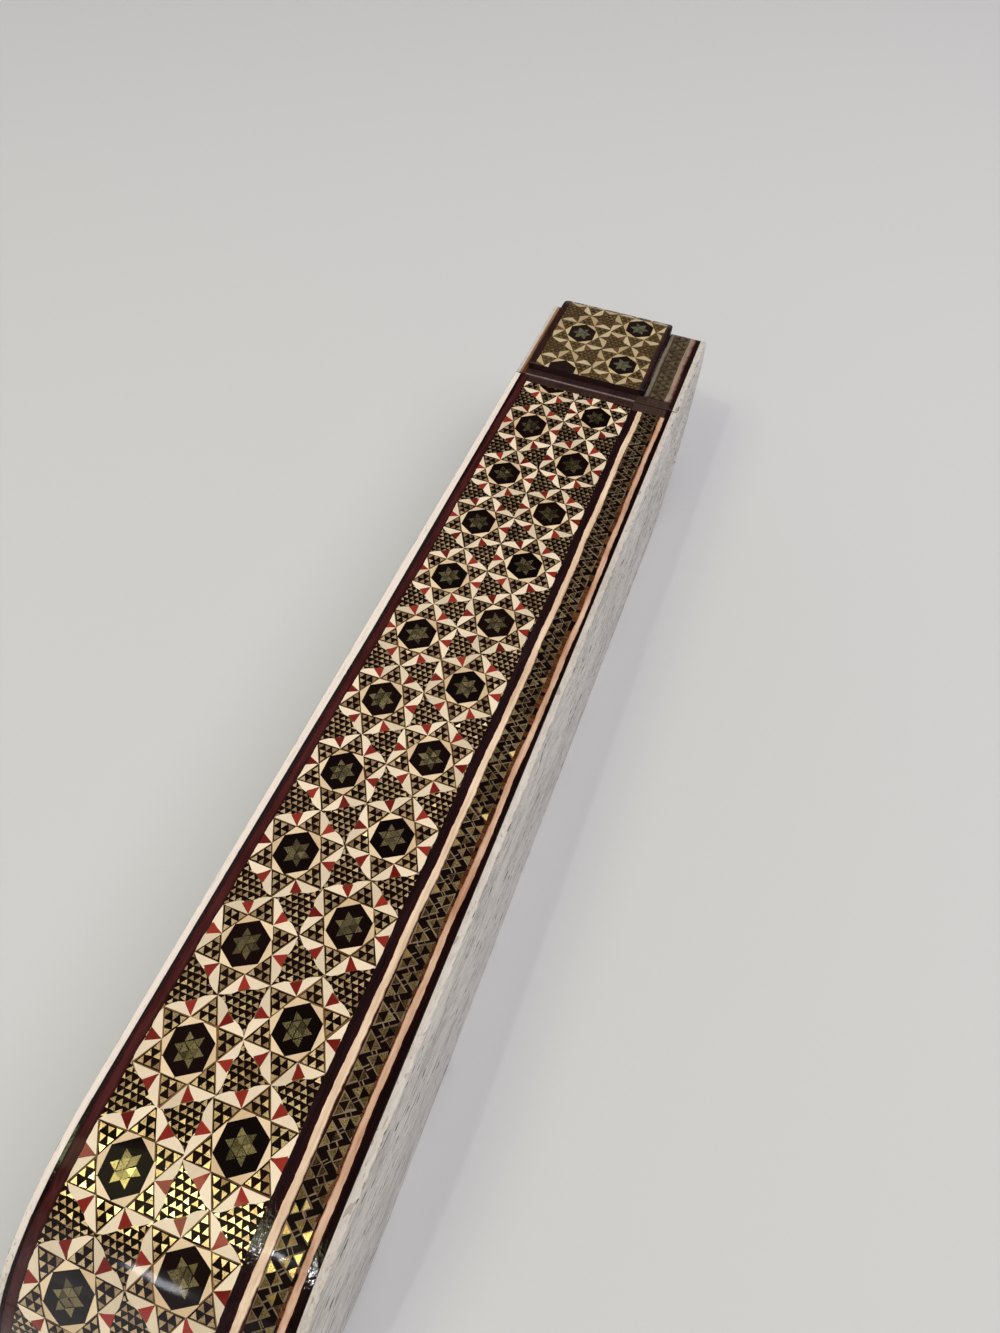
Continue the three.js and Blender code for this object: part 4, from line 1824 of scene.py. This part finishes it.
class Marquetry(BentSheet):
    """A pattern of tiles, cut flush to an outline, bent round the box and backed as one sheet."""

    FLAT_STEP = 12.0
    CURVE_STEP = 1.3
    EDGE_STEP = 0.45
    FINEST = 1e-4
    FACES = 3
    TRIANGLES_INSIDE = 1

    def outline(self) -> Outline:
        """The sheet's edge, anticlockwise."""
        runs = self.contour.steps(self.low, self.high, self.EDGE_STEP, self.EDGE_STEP)
        right = [(self.right.at(run), run) for run in runs]
        return right + [(self.left.at(run), run) for run in reversed(runs)]

    def creases(self) -> list[float]:
        """Runs where the sheet bends, so that its faces follow the curve."""
        return self.contour.steps(self.low, self.high, self.FLAT_STEP, self.CURVE_STEP)[1:-1]

    def cut(self, tiles: list[Tile]) -> tuple[list[Point], list[list[int]], list[int]]:
        """Cuts all tiles flush against each other.

        Args:
            tiles: The tiles, which may overlap.

        Returns:
            Points, faces, and for each face the tile that it belongs to, or -1 for the ground.
        """
        points: Outline = []
        rings: list[list[int]] = []
        for outline in [self.outline(), *(tile.outline for tile in tiles)]:
            start = len(points)
            points += anticlockwise(outline)
            rings.append(list(range(start, len(points))))
        lines = []
        for run in self.creases():
            start = len(points)
            points += [(self.left.x - 2, run), (self.right.x + 2, run)]
            lines.append((start, start + 1))
        flat = [Vector(point) for point in points]
        found = delaunay_2d_cdt(flat, lines, rings, self.FACES, self.FINEST, True)
        corners, _, faces, _, _, origins = found
        kept, owners = [], []
        for face, origin in zip(faces, origins):
            if 0 not in origin:
                continue
            own = [number - 1 for number in origin if number > 0]
            kept.append(list(face))
            owners.append(max(own, key=lambda number: (tiles[number].layer, number), default=-1))
        return [tuple(corner) for corner in corners], kept, owners

    def build(self, tiles: list[Tile], palette: Palette, seed: int) -> Piece:
        """Makes the sheet's mesh.

        Args:
            tiles: The pattern.
            palette: The finishes.
            seed: Of the tiles' tones.

        Returns:
            The object.
        """
        chance = random.Random(seed)
        tones = [chance.random() for _ in tiles]
        tilts = [(chance.gauss(0, 0.9), chance.gauss(0, 0.35), 0.0) for _ in tiles]
        corners, faces, owners = self.cut(tiles)
        sheet = Sheet(self.name)
        sheet.add_points(self.contour.point(x, run) for x, run in corners)
        normals = [self.contour.normal(run) for _, run in corners]
        for face, owner in zip(faces, owners):
            inlay = tiles[owner].inlay if owner >= 0 else Inlay.EBONY
            tone = tones[owner] if owner >= 0 else 0.4
            tilt = tilts[owner] if owner >= 0 else (0.0, 0.0, 0.0)
            sheet.add_face(face, [normals[corner] for corner in face], int(inlay), tone, tilt)
        self.add_back(sheet, corners, faces)
        log.info("%s: %d tiles, %d faces", self.name, len(tiles), len(sheet.faces))
        return sheet.finish(palette.materials())

    def add_back(self, sheet: Sheet, corners: list[Point], faces: list[list[int]]) -> None:
        """Closes the sheet with its edges and its underside.

        Args:
            sheet: The mesh with the top faces.
            corners: The top's points, across and along.
            faces: The top's faces.
        """
        after: dict[int, int] = {}
        edges = {(face[i - 1], face[i]) for face in faces for i in range(len(face))}
        for start, end in edges:
            if (end, start) not in edges:
                after[start] = end
        first = next(iter(after))
        loop = [first]
        while after[loop[-1]] != first:
            loop.append(after[loop[-1]])
        bottom = sheet.add_points(self.contour.under(*corners[corner]) for corner in loop)
        count = len(loop)
        for i in range(count):
            j = (i + 1) % count
            sheet.add_face([loop[i], bottom + i, bottom + j, loop[j]], None, int(Inlay.SAWN_SIDE))
        flat, ring = [Vector(corners[corner]) for corner in loop], list(range(count))
        found = delaunay_2d_cdt(flat, [], [ring], self.TRIANGLES_INSIDE, self.FINEST, True)
        _, _, back, origins, _, _ = found
        for face in back:
            under = [bottom + origins[corner][0] for corner in reversed(face)]
            sheet.add_face(under, None, int(Inlay.SAWN_SIDE))


class RoundedPlate:
    """A flat piece with a given side outline and softened edges on both faces."""

    STEPS = 3
    SMOOTH_BELOW = 28.0

    def __init__(self, name: str, outline: Outline, faces: Point, radii: Point) -> None:
        """Sets the plate out.

        Args:
            name: Name of the piece.
            outline: Its side view as Y and Z, either way round.
            faces: X of its left and right face.
            radii: Radius of each face's edge.
        """
        self.name = name
        self.outline = [np.array(point) for point in anticlockwise(outline)]
        self.faces = faces
        self.radii = radii

    def rounding(self, face: float, radius: float, inwards: int) -> list[tuple[float, float]]:
        """Places out to a face, each with how far the outline is drawn in there.

        Args:
            face: X of the face.
            radius: Radius of its edge.
            inwards: 1 where the plate lies to the right of the face, -1 to the left.

        Returns:
            The places, the face last.
        """
        if not radius:
            return [(face, 0.0)]
        places = []
        for i in range(self.STEPS + 1):
            turn = i / self.STEPS * math.pi / 2
            x = face + inwards * radius * (1 - math.sin(turn))
            places.append((x, radius * (1 - math.cos(turn))))
        return places

    def build(self, material: Material) -> Piece:
        """Makes the plate's mesh.

        Args:
            material: Its finish.

        Returns:
            The object.
        """
        mesh = bpy.data.meshes.new(self.name)
        shape = bmesh.new()
        rings = []
        left = self.rounding(self.faces[0], self.radii[0], 1)
        right = self.rounding(self.faces[1], self.radii[1], -1)
        for x, inset in [*reversed(left), *right]:
            ring = shrink(self.outline, inset) if inset > 1e-6 else self.outline
            rings.append([shape.verts.new((x * MM, p[0] * MM, p[1] * MM)) for p in ring])
        count = len(self.outline)
        for lower, upper in pairwise(rings):
            for i in range(count):
                j = (i + 1) % count
                shape.faces.new((lower[i], lower[j], upper[j], upper[i]))
        shape.faces.new(list(reversed(rings[0])))
        shape.faces.new(rings[-1])
        bmesh.ops.recalc_face_normals(shape, faces=shape.faces)
        limit = math.radians(self.SMOOTH_BELOW)
        for edge in shape.edges:
            edge.smooth = len(edge.link_faces) == 2 and edge.calc_face_angle(0.0) < limit
        for face in shape.faces:
            face.smooth = True
        shape.to_mesh(mesh)
        shape.free()
        across = mesh.attributes.new("across", "FLOAT", "POINT")
        places = np.array([vertex.co.y / MM for vertex in mesh.vertices])
        across.data.foreach_set("value", (places - places.min()) / np.ptp(places))
        mesh.materials.append(material)
        return add_object(self.name, mesh)


def block_outline(node: str, top_radius: float = 0.0) -> Outline:
    """Side outline of a straight board, from its solid's box.

    Args:
        node: Name of the solid.
        top_radius: Radius of its two upper edges.

    Returns:
        Points as Y and Z.
    """
    low, high = box_mm(node)
    outline = [(low[1], low[2]), (high[1], low[2])]
    if not top_radius:
        return [*outline, (high[1], high[2]), (low[1], high[2])]
    for y, start in ((high[1] - top_radius, 0), (low[1] + top_radius, 90)):
        for turn in range(start, start + 90 + 1, CORNER_STEP):
            point = polar(top_radius, turn) + np.array([y, high[2] - top_radius])
            outline.append((float(point[0]), float(point[1])))
    return outline


class Finishes:
    """Every finish that the case and the drawer share."""

    def __init__(self) -> None:
        """Builds all of them."""
        self.materials = {name: finish.material() for name, finish in FINISHES.items()}

    def named(self, name: str) -> Material:
        """The finish of a name, which is its material slot's for most of them."""
        return self.materials[name]


@dataclass
class Assembly:
    """What the case and the drawer share: making pieces and putting them in place of solids.

    Attributes:
        shape: The box's side view.
        finishes: The finishes.
        body: The body that the pieces ride.
        prefix: How the names of its solids start.
        strips: Solids of the top from left to right, each with its material slot.
        star_palette: Finishes of its rosettes.
        band_palette: Finishes of its triangle band.
        band: Pattern of its triangle band.
        tone_seeds: Seeds of the tiles' tones, for the rosettes and for the band.
        off_centre: How far the rosettes lie to the right of the middle.
        pitch: Distance from rosette to rosette.
    """

    BONE_RADIUS = 0.3
    CROSS_RADIUS = 0.1
    CROSS_TOP_RADIUS = 0.22

    shape: BoxShape
    finishes: Finishes
    body: str
    prefix: str
    strips: tuple[tuple[str, str], ...]
    star_palette: Palette
    band_palette: Palette
    band: ZigzagBand
    tone_seeds: tuple[int, int]
    off_centre: float
    pitch: float = 15.4

    def stars(self, window: Window) -> StarField:
        """The rosettes that fill a stretch."""
        raise NotImplementedError

    def strip_finish(self, node: str, slot: str) -> Material:
        """The finish of one line or border."""
        return self.finishes.named(slot)

    def settle(self, piece: Piece, node: str, slot: str) -> None:
        """Puts a piece in place of a solid.

        Args:
            piece: The piece.
            node: The solid that it stands for.
            slot: The record's material slot; not used.
        """
        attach(piece, self.body)
        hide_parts(node)
        log.info("%s stands for %s on %s", piece.name, node, self.body)

    def dress(self, node: str, slot: str) -> None:
        """Gives a solid a better material, and keeps its shape.

        Args:
            node: The solid.
            slot: The record's material slot.
        """
        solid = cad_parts[node]
        solid.data.materials.clear()
        solid.data.materials.append(self.finishes.named(slot))
        log.info("%s keeps its solid", node)

    def lay(self, node: str, slot: str, contour: Contour, sides: Sides, seam: float) -> None:
        """Makes one strip or sheet of the top, from the seam to the contour's end.

        Args:
            node: The solid that it stands for.
            slot: The record's material slot.
            contour: The line that it follows.
            sides: Its left and right edge.
            seam: Run of its end at the seam.
        """
        place = (contour, sides, contour.end_run, seam)
        if slot == "star_khatam":
            sheet = Marquetry(f"{self.prefix}_star_marquetry", *place)
            tiles = self.stars(sheet.window()).tiles(sheet.window())
            piece = sheet.build(tiles, self.star_palette, self.tone_seeds[0])
        elif slot == "band_khatam":
            sheet = Marquetry(f"{self.prefix}_band_marquetry", *place)
            piece = sheet.build(self.band.tiles(sheet.window()), self.band_palette, self.tone_seeds[1])
        else:
            piece = Strip(f"{node}_strip", *place).build(self.strip_finish(node, slot))
        self.settle(piece, node, slot)

    def plate(
        self,
        node: str,
        slot: str,
        outline: Outline,
        radii: Point,
        finish: str = "",
        kind: str = "board",
    ) -> None:
        """Makes a flat piece with softened edges.

        Args:
            node: The solid that it stands for.
            slot: The record's material slot.
            outline: Its side view.
            radii: Radius of the edge of its left and of its right face.
            finish: Name of its finish, or none for its slot's.
            kind: How its name ends.
        """
        low, high = box_mm(node)
        plate = RoundedPlate(f"{node}_{kind}", outline, (low[0], high[0]), radii)
        self.settle(plate.build(self.finishes.named(finish or slot)), node, slot)

    def board(self, node: str, slot: str, radius: float) -> None:
        """Makes a straight board whose faces have edges of that radius."""
        self.plate(node, slot, block_outline(node), (radius, radius))

    def crosspiece(self, node: str, slot: str, finish: str) -> None:
        """Makes a piece that lies across the top, with its upper edges rounded."""
        outline = block_outline(node, self.CROSS_TOP_RADIUS)
        self.plate(node, slot, outline, (self.CROSS_RADIUS, self.CROSS_RADIUS), finish)

    def bone_plates(self, outline: Outline, left_finish: str) -> None:
        """Makes the bone plates on both sides.

        Args:
            outline: Their side view.
            left_finish: Name of the left one's finish.
        """
        left, right = f"{self.prefix}_left_bone", f"{self.prefix}_right_bone"
        self.plate(left, "bone", outline, (self.BONE_RADIUS, 0.0), left_finish, "plate")
        self.plate(right, "bone", outline, (0.0, self.BONE_RADIUS), "bone", "plate")


def edges_between(
    nodes: Sequence[str],
    seed: int,
    shifts: dict[str, float],
    bow: float = 0.0,
) -> dict[str, Sides]:
    """Sawn lines between neighbouring strips, shared by the two strips at each line.

    Args:
        nodes: The strips from left to right.
        seed: Of the lines' wandering.
        shifts: How far a strip's left edge lies to the right of its solid's.
        bow: How much the lines follow the bow of the case's lines.

    Returns:
        The left and right edge of each strip.
    """
    boxes = [box_mm(node) for node in nodes]
    lines = [SawnEdge(boxes[0][0][0] + shifts.get(nodes[0], 0.0), 0.0, bow=bow * LEFT_EDGE_BOW)]
    for i in range(1, len(nodes)):
        middle = (boxes[i - 1][1][0] + boxes[i][0][0]) / 2 + shifts.get(nodes[i], 0.0)
        lines.append(SawnEdge(middle, seed=seed + i, drift=seed, bow=bow))
    lines.append(SawnEdge(boxes[-1][1][0], 0.0))
    return dict(zip(nodes, pairwise(lines)))


@dataclass
class Case(Assembly):
    """The long sleeve: boards, nose, marquetry, borders, bone and bottom.

    Attributes:
        row_zero: Run of the first rosette in the right column.
    """

    body: str = CASE
    prefix: str = "case"
    strips: tuple[tuple[str, str], ...] = (
        ("case_left_line", "black_line"),
        ("case_left_border", "maroon"),
        ("case_star_panel", "star_khatam"),
        ("case_right_border", "purple_black"),
        ("case_inner_stringing", "cream_line"),
        ("case_triangle_band", "band_khatam"),
        ("case_outer_stringing", "orange_line"),
        ("case_right_edge", "black_line"),
    )
    star_palette: Palette = CASE_PALETTE
    band_palette: Palette = BAND_PALETTE
    band: ZigzagBand = field(default_factory=ZigzagBand)
    tone_seeds: tuple[int, int] = (11, 12)
    off_centre: float = 0.15
    row_zero: float = 71.6

    def build(self) -> None:
        """Makes every piece of the case."""
        self.build_strips()
        self.crosspiece("mouth_strip", "maroon", "seam_wood")
        self.crosspiece("mouth_block", "brown_block", "brown_block")
        self.build_bone()
        for node in ("case_left_wall", "case_right_wall"):
            self.board(node, "case_wood", radius=0.25)
        for node in ("case_roof", "case_floor", "nose_block"):
            self.dress(node, "case_wood")

    def stars(self, window: Window) -> StarField:
        """The rosettes of the case, of which the last rows before the seam are drawn together."""
        return StarField(
            self.pitch,
            self.row_zero,
            window.middle() + self.off_centre,
            slack=self.pitch * 0.12,
            slack_from=self.row_zero - self.pitch * 1.15,
            slack_to=self.row_zero - self.pitch * 0.3,
        )

    def build_strips(self) -> None:
        """The marquetry, the borders and the lines of the top."""
        contour = self.shape.case_top()
        shifts = {
            "case_left_line": 0.17,
            "case_right_border": -0.35,
            "case_inner_stringing": -0.12,
            "case_triangle_band": -0.05,
            "case_outer_stringing": 0.18,
            "case_right_edge": -0.15,
        }
        edges = edges_between([node for node, _ in self.strips], 3, shifts, bow=1.0)
        for node, slot in self.strips:
            self.lay(node, slot, contour, edges[node], box_mm(node)[1][1])

    def build_bone(self) -> None:
        """The bone plates, the rim on top of the left one, and the bottom veneer."""
        # The left plate and its rim take the bone whose top is painted brighter, as if lit.
        self.bone_plates(self.shape.case_side(), "painted_top_light_bone")
        contour = self.shape.case_top()
        inner = SawnEdge(box_mm("case_left_bone")[1][0] - 0.02, 0.0)
        outer = SawnEdge(box_mm("case_left_line")[0][0] + 0.16, 0.0, bow=LEFT_EDGE_BOW)
        rim = Strip("case_left_bone_rim", contour, (inner, outer), contour.end_run, self.shape.mouth)
        self.settle(rim.build(self.finishes.named("painted_top_light_bone")), "case_left_bone", "bone")
        self.dress("case_bottom_veneer", "bottom_wood")


@dataclass
class Drawer(Assembly):
    """The drawer: its head with marquetry and bone, and the trough for pencils.

    Attributes:
        row_zero: Run of the first rosette in the right column.
        stagger: How far the left column is set back, in pitches.
    """

    body: str = DRAWER
    prefix: str = "end"
    strips: tuple[tuple[str, str], ...] = (
        ("end_left_line", "brown_block"),
        ("end_left_stringing", "orange_line"),
        ("end_left_border", "black_line"),
        ("end_star_panel", "star_khatam"),
        ("end_right_border", "purple_black"),
        ("end_inner_stringing", "cream_line"),
        ("end_triangle_band", "band_khatam"),
        ("end_outer_stringing", "orange_line"),
        ("end_right_edge", "black_line"),
    )
    star_palette: Palette = HEAD_PALETTE
    band_palette: Palette = HAZY_BAND_PALETTE
    band: ZigzagBand = field(default_factory=lambda: ZigzagBand(seed=9))
    tone_seeds: tuple[int, int] = (13, 14)
    off_centre: float = 0.3
    row_zero: float = 92.3
    stagger: float = 0.465

    def build(self) -> None:
        """Makes every piece of the drawer."""
        self.build_strips()
        # The seam strip carries a painted highlight along its near edge.
        self.crosspiece("end_seam_strip", "maroon", "seam_painted_highlight")
        self.crosspiece("end_seam_block", "brown_block", "brown_block")
        self.bone_plates(self.shape.head_side(), "bone")
        self.dress("end_bottom_veneer", "bottom_wood")
        for node in ("tray_floor", "tray_left_wall", "tray_right_wall", "tray_back_wall"):
            self.board(node, "tray_wood", radius=0.35)
        self.dress("end_block", "case_wood")

    def stars(self, window: Window) -> StarField:
        """The rosettes of the head."""
        middle = window.middle() + self.off_centre
        return StarField(self.pitch, self.row_zero, middle, stagger=self.stagger, seed=8)

    def strip_finish(self, node: str, slot: str) -> Material:
        """The dull finish of one of the head's lines."""
        return HEAD_LINES[node].material()

    def build_strips(self) -> None:
        """The marquetry, the borders and the lines of the head."""
        level, raised = self.shape.head_top(), self.shape.head_raised()
        edges = edges_between([node for node, _ in self.strips], 23, {})
        (left_side, _), (_, right_side) = box_mm("end_left_border"), box_mm("end_right_border")
        edges["end_left_border"] = (TurnedInEdge(left_side[0], 1, raised), edges["end_left_border"][1])
        edges["end_right_border"] = (edges["end_right_border"][0], TurnedInEdge(right_side[0], -1, raised))
        for node, slot in self.strips:
            contour = raised if node in ("end_left_border", "end_star_panel", "end_right_border") else level
            self.lay(node, slot, contour, edges[node], box_mm(node)[0][1])


@dataclass(frozen=True)
class Lamp:
    """A soft lamp that faces the box.

    Attributes:
        name: The lamp's name.
        way: Direction from the box to the lamp.
        distance: How far off it stands, in metres.
        size: Its width and height, in metres.
        watts: Its power.
        colour: Its light's colour.
        target: What it faces, in metres.
    """

    name: str
    way: tuple[float, float, float]
    distance: float
    size: tuple[float, float]
    watts: float
    colour: Colour = (1.0, 1.0, 1.0)
    target: tuple[float, float, float] = (0.0, 0.0, 0.03)

    def build(self) -> None:
        """Hangs the lamp."""
        data = bpy.data.lights.new(self.name, "AREA")
        data.shape = "RECTANGLE"
        data.size, data.size_y = self.size
        data.energy = self.watts
        data.color = self.colour
        lamp = add_object(self.name, data)
        way = Vector(self.way).normalized()
        lamp.location = Vector(self.target) + way * self.distance
        lamp.rotation_euler = way.to_track_quat("Z", "Y").to_euler()


@dataclass
class Studio:
    """The floor, the lamps and the pale walls round a dim opening overhead.

    Attributes:
        floor_colour: Colour of the floor.
        floor_reach: Half its width, in metres.
        wall_light: Brightness of the walls.
        top_light: Brightness straight overhead.
        wall_top: Sine of the height angle where the walls end.
        opening: Sine of the height angle where the opening starts.
        lamps: The lamps.
    """

    floor_colour: Colour = srgb(211, 210, 211)
    floor_reach: float = 3.0
    wall_light: float = 0.62
    top_light: float = 0.012
    wall_top: float = 0.3
    opening: float = 0.6
    lamps: tuple[Lamp, ...] = (
        Lamp(
            "ceiling_lamp", (-0.187, -0.416, 0.89), 1.0, (0.02, 0.02), 0.85,
            srgb(255, 252, 255), (0.0, -0.091, 0.039),
        ),
        Lamp(
            "ceiling_panel", (-0.322, -0.36, 0.875), 1.0, (0.27, 0.28), 1.9,
            srgb(246, 255, 200), (0.0, -0.09, 0.039),
        ),
        Lamp(
            "front_window", (-0.29, -0.72, 0.63), 1.2, (0.07, 0.05), 0.11,
            srgb(240, 244, 255), (0.0, -0.099, 0.038),
        ),
        Lamp("front_softbox", (-0.2, -1.0, 0.6), 1.3, (1.2, 0.5), 0.5, srgb(255, 252, 255)),
        Lamp("right_softbox", (0.42, 0.16, 0.9), 1.3, (1.1, 1.1), 12.6, srgb(254, 252, 255)),
        Lamp("left_softbox", (-1.0, 0.25, 0.75), 1.5, (2.0, 2.0), 6.4, srgb(254, 252, 255)),
    )

    def build(self) -> None:
        """Makes the floor, the surroundings and the lamps."""
        self.build_floor()
        self.build_world()
        for lamp in self.lamps:
            lamp.build()

    def build_floor(self) -> None:
        """A large plain floor."""
        mesh = bpy.data.meshes.new("floor")
        reach = self.floor_reach
        corners = [(-reach, -reach, 0.0), (reach, -reach, 0.0), (reach, reach, 0.0), (-reach, reach, 0.0)]
        mesh.from_pydata(corners, [], [(0, 1, 2, 3)])
        board = Board("floor_paint")
        board.set(Base_Color=(*self.floor_colour, 1.0), Roughness=0.8)
        mesh.materials.append(board.material)
        floor = add_object("floor", mesh)

    def build_world(self) -> None:
        """Light from the walls, dimmer overhead."""
        world = bpy.data.worlds.new("surroundings")
        bpy.context.scene.world = world
        world.use_nodes = True
        nodes, links = world.node_tree.nodes, world.node_tree.links
        split = nodes.new("ShaderNodeSeparateXYZ")
        links.new(nodes.new("ShaderNodeTexCoord").outputs["Generated"], split.inputs[0])
        height = nodes.new("ShaderNodeMapRange")
        links.new(split.outputs["Z"], height.inputs["Value"])
        ease(height, (self.wall_top, self.wall_light), (self.opening, self.top_light))
        light = nodes["Background"]
        light.inputs["Color"].default_value = (1.0, 1.0, 1.0, 1.0)
        links.new(height.outputs[0], light.inputs["Strength"])


@dataclass
class Viewpoint:
    """The photograph's camera, worked out from the regular pattern of the top.

    Attributes:
        place: Where it stands, in metres.
        turn: Its rotation about X, Y and Z, in degrees.
        lens: Focal length on a sensor 36 mm high.
        shift: How far the picture's middle lies off the lens axis.
    """

    SENSOR = 36.0
    NEAREST = 0.005

    place: tuple[float, float, float] = (0.04146, -0.07362, 0.1712)
    turn: tuple[float, float, float] = (33.634, -1.686, 19.46)
    lens: float = 22.15
    shift: tuple[float, float] = (-0.0439, -0.0196)

    def build(self) -> None:
        """Makes the camera."""
        data = bpy.data.cameras.new("camera")
        data.lens = self.lens
        data.sensor_width = self.SENSOR
        data.shift_x, data.shift_y = self.shift
        data.clip_start = self.NEAREST
        camera = add_object("camera", data)
        camera.location = self.place
        camera.rotation_euler = [math.radians(angle) for angle in self.turn]
        bpy.context.scene.camera = camera


def main() -> None:
    """Builds the camera, the box and the studio."""
    logging.basicConfig(level=logging.INFO, format="%(name)s: %(message)s")
    bpy.context.scene.view_settings.view_transform = "Standard"
    Viewpoint().build()
    shape = BoxShape()
    finishes = Finishes()
    Case(shape, finishes).build()
    Drawer(shape, finishes).build()
    Studio().build()


if __name__ == "__main__":
    main()
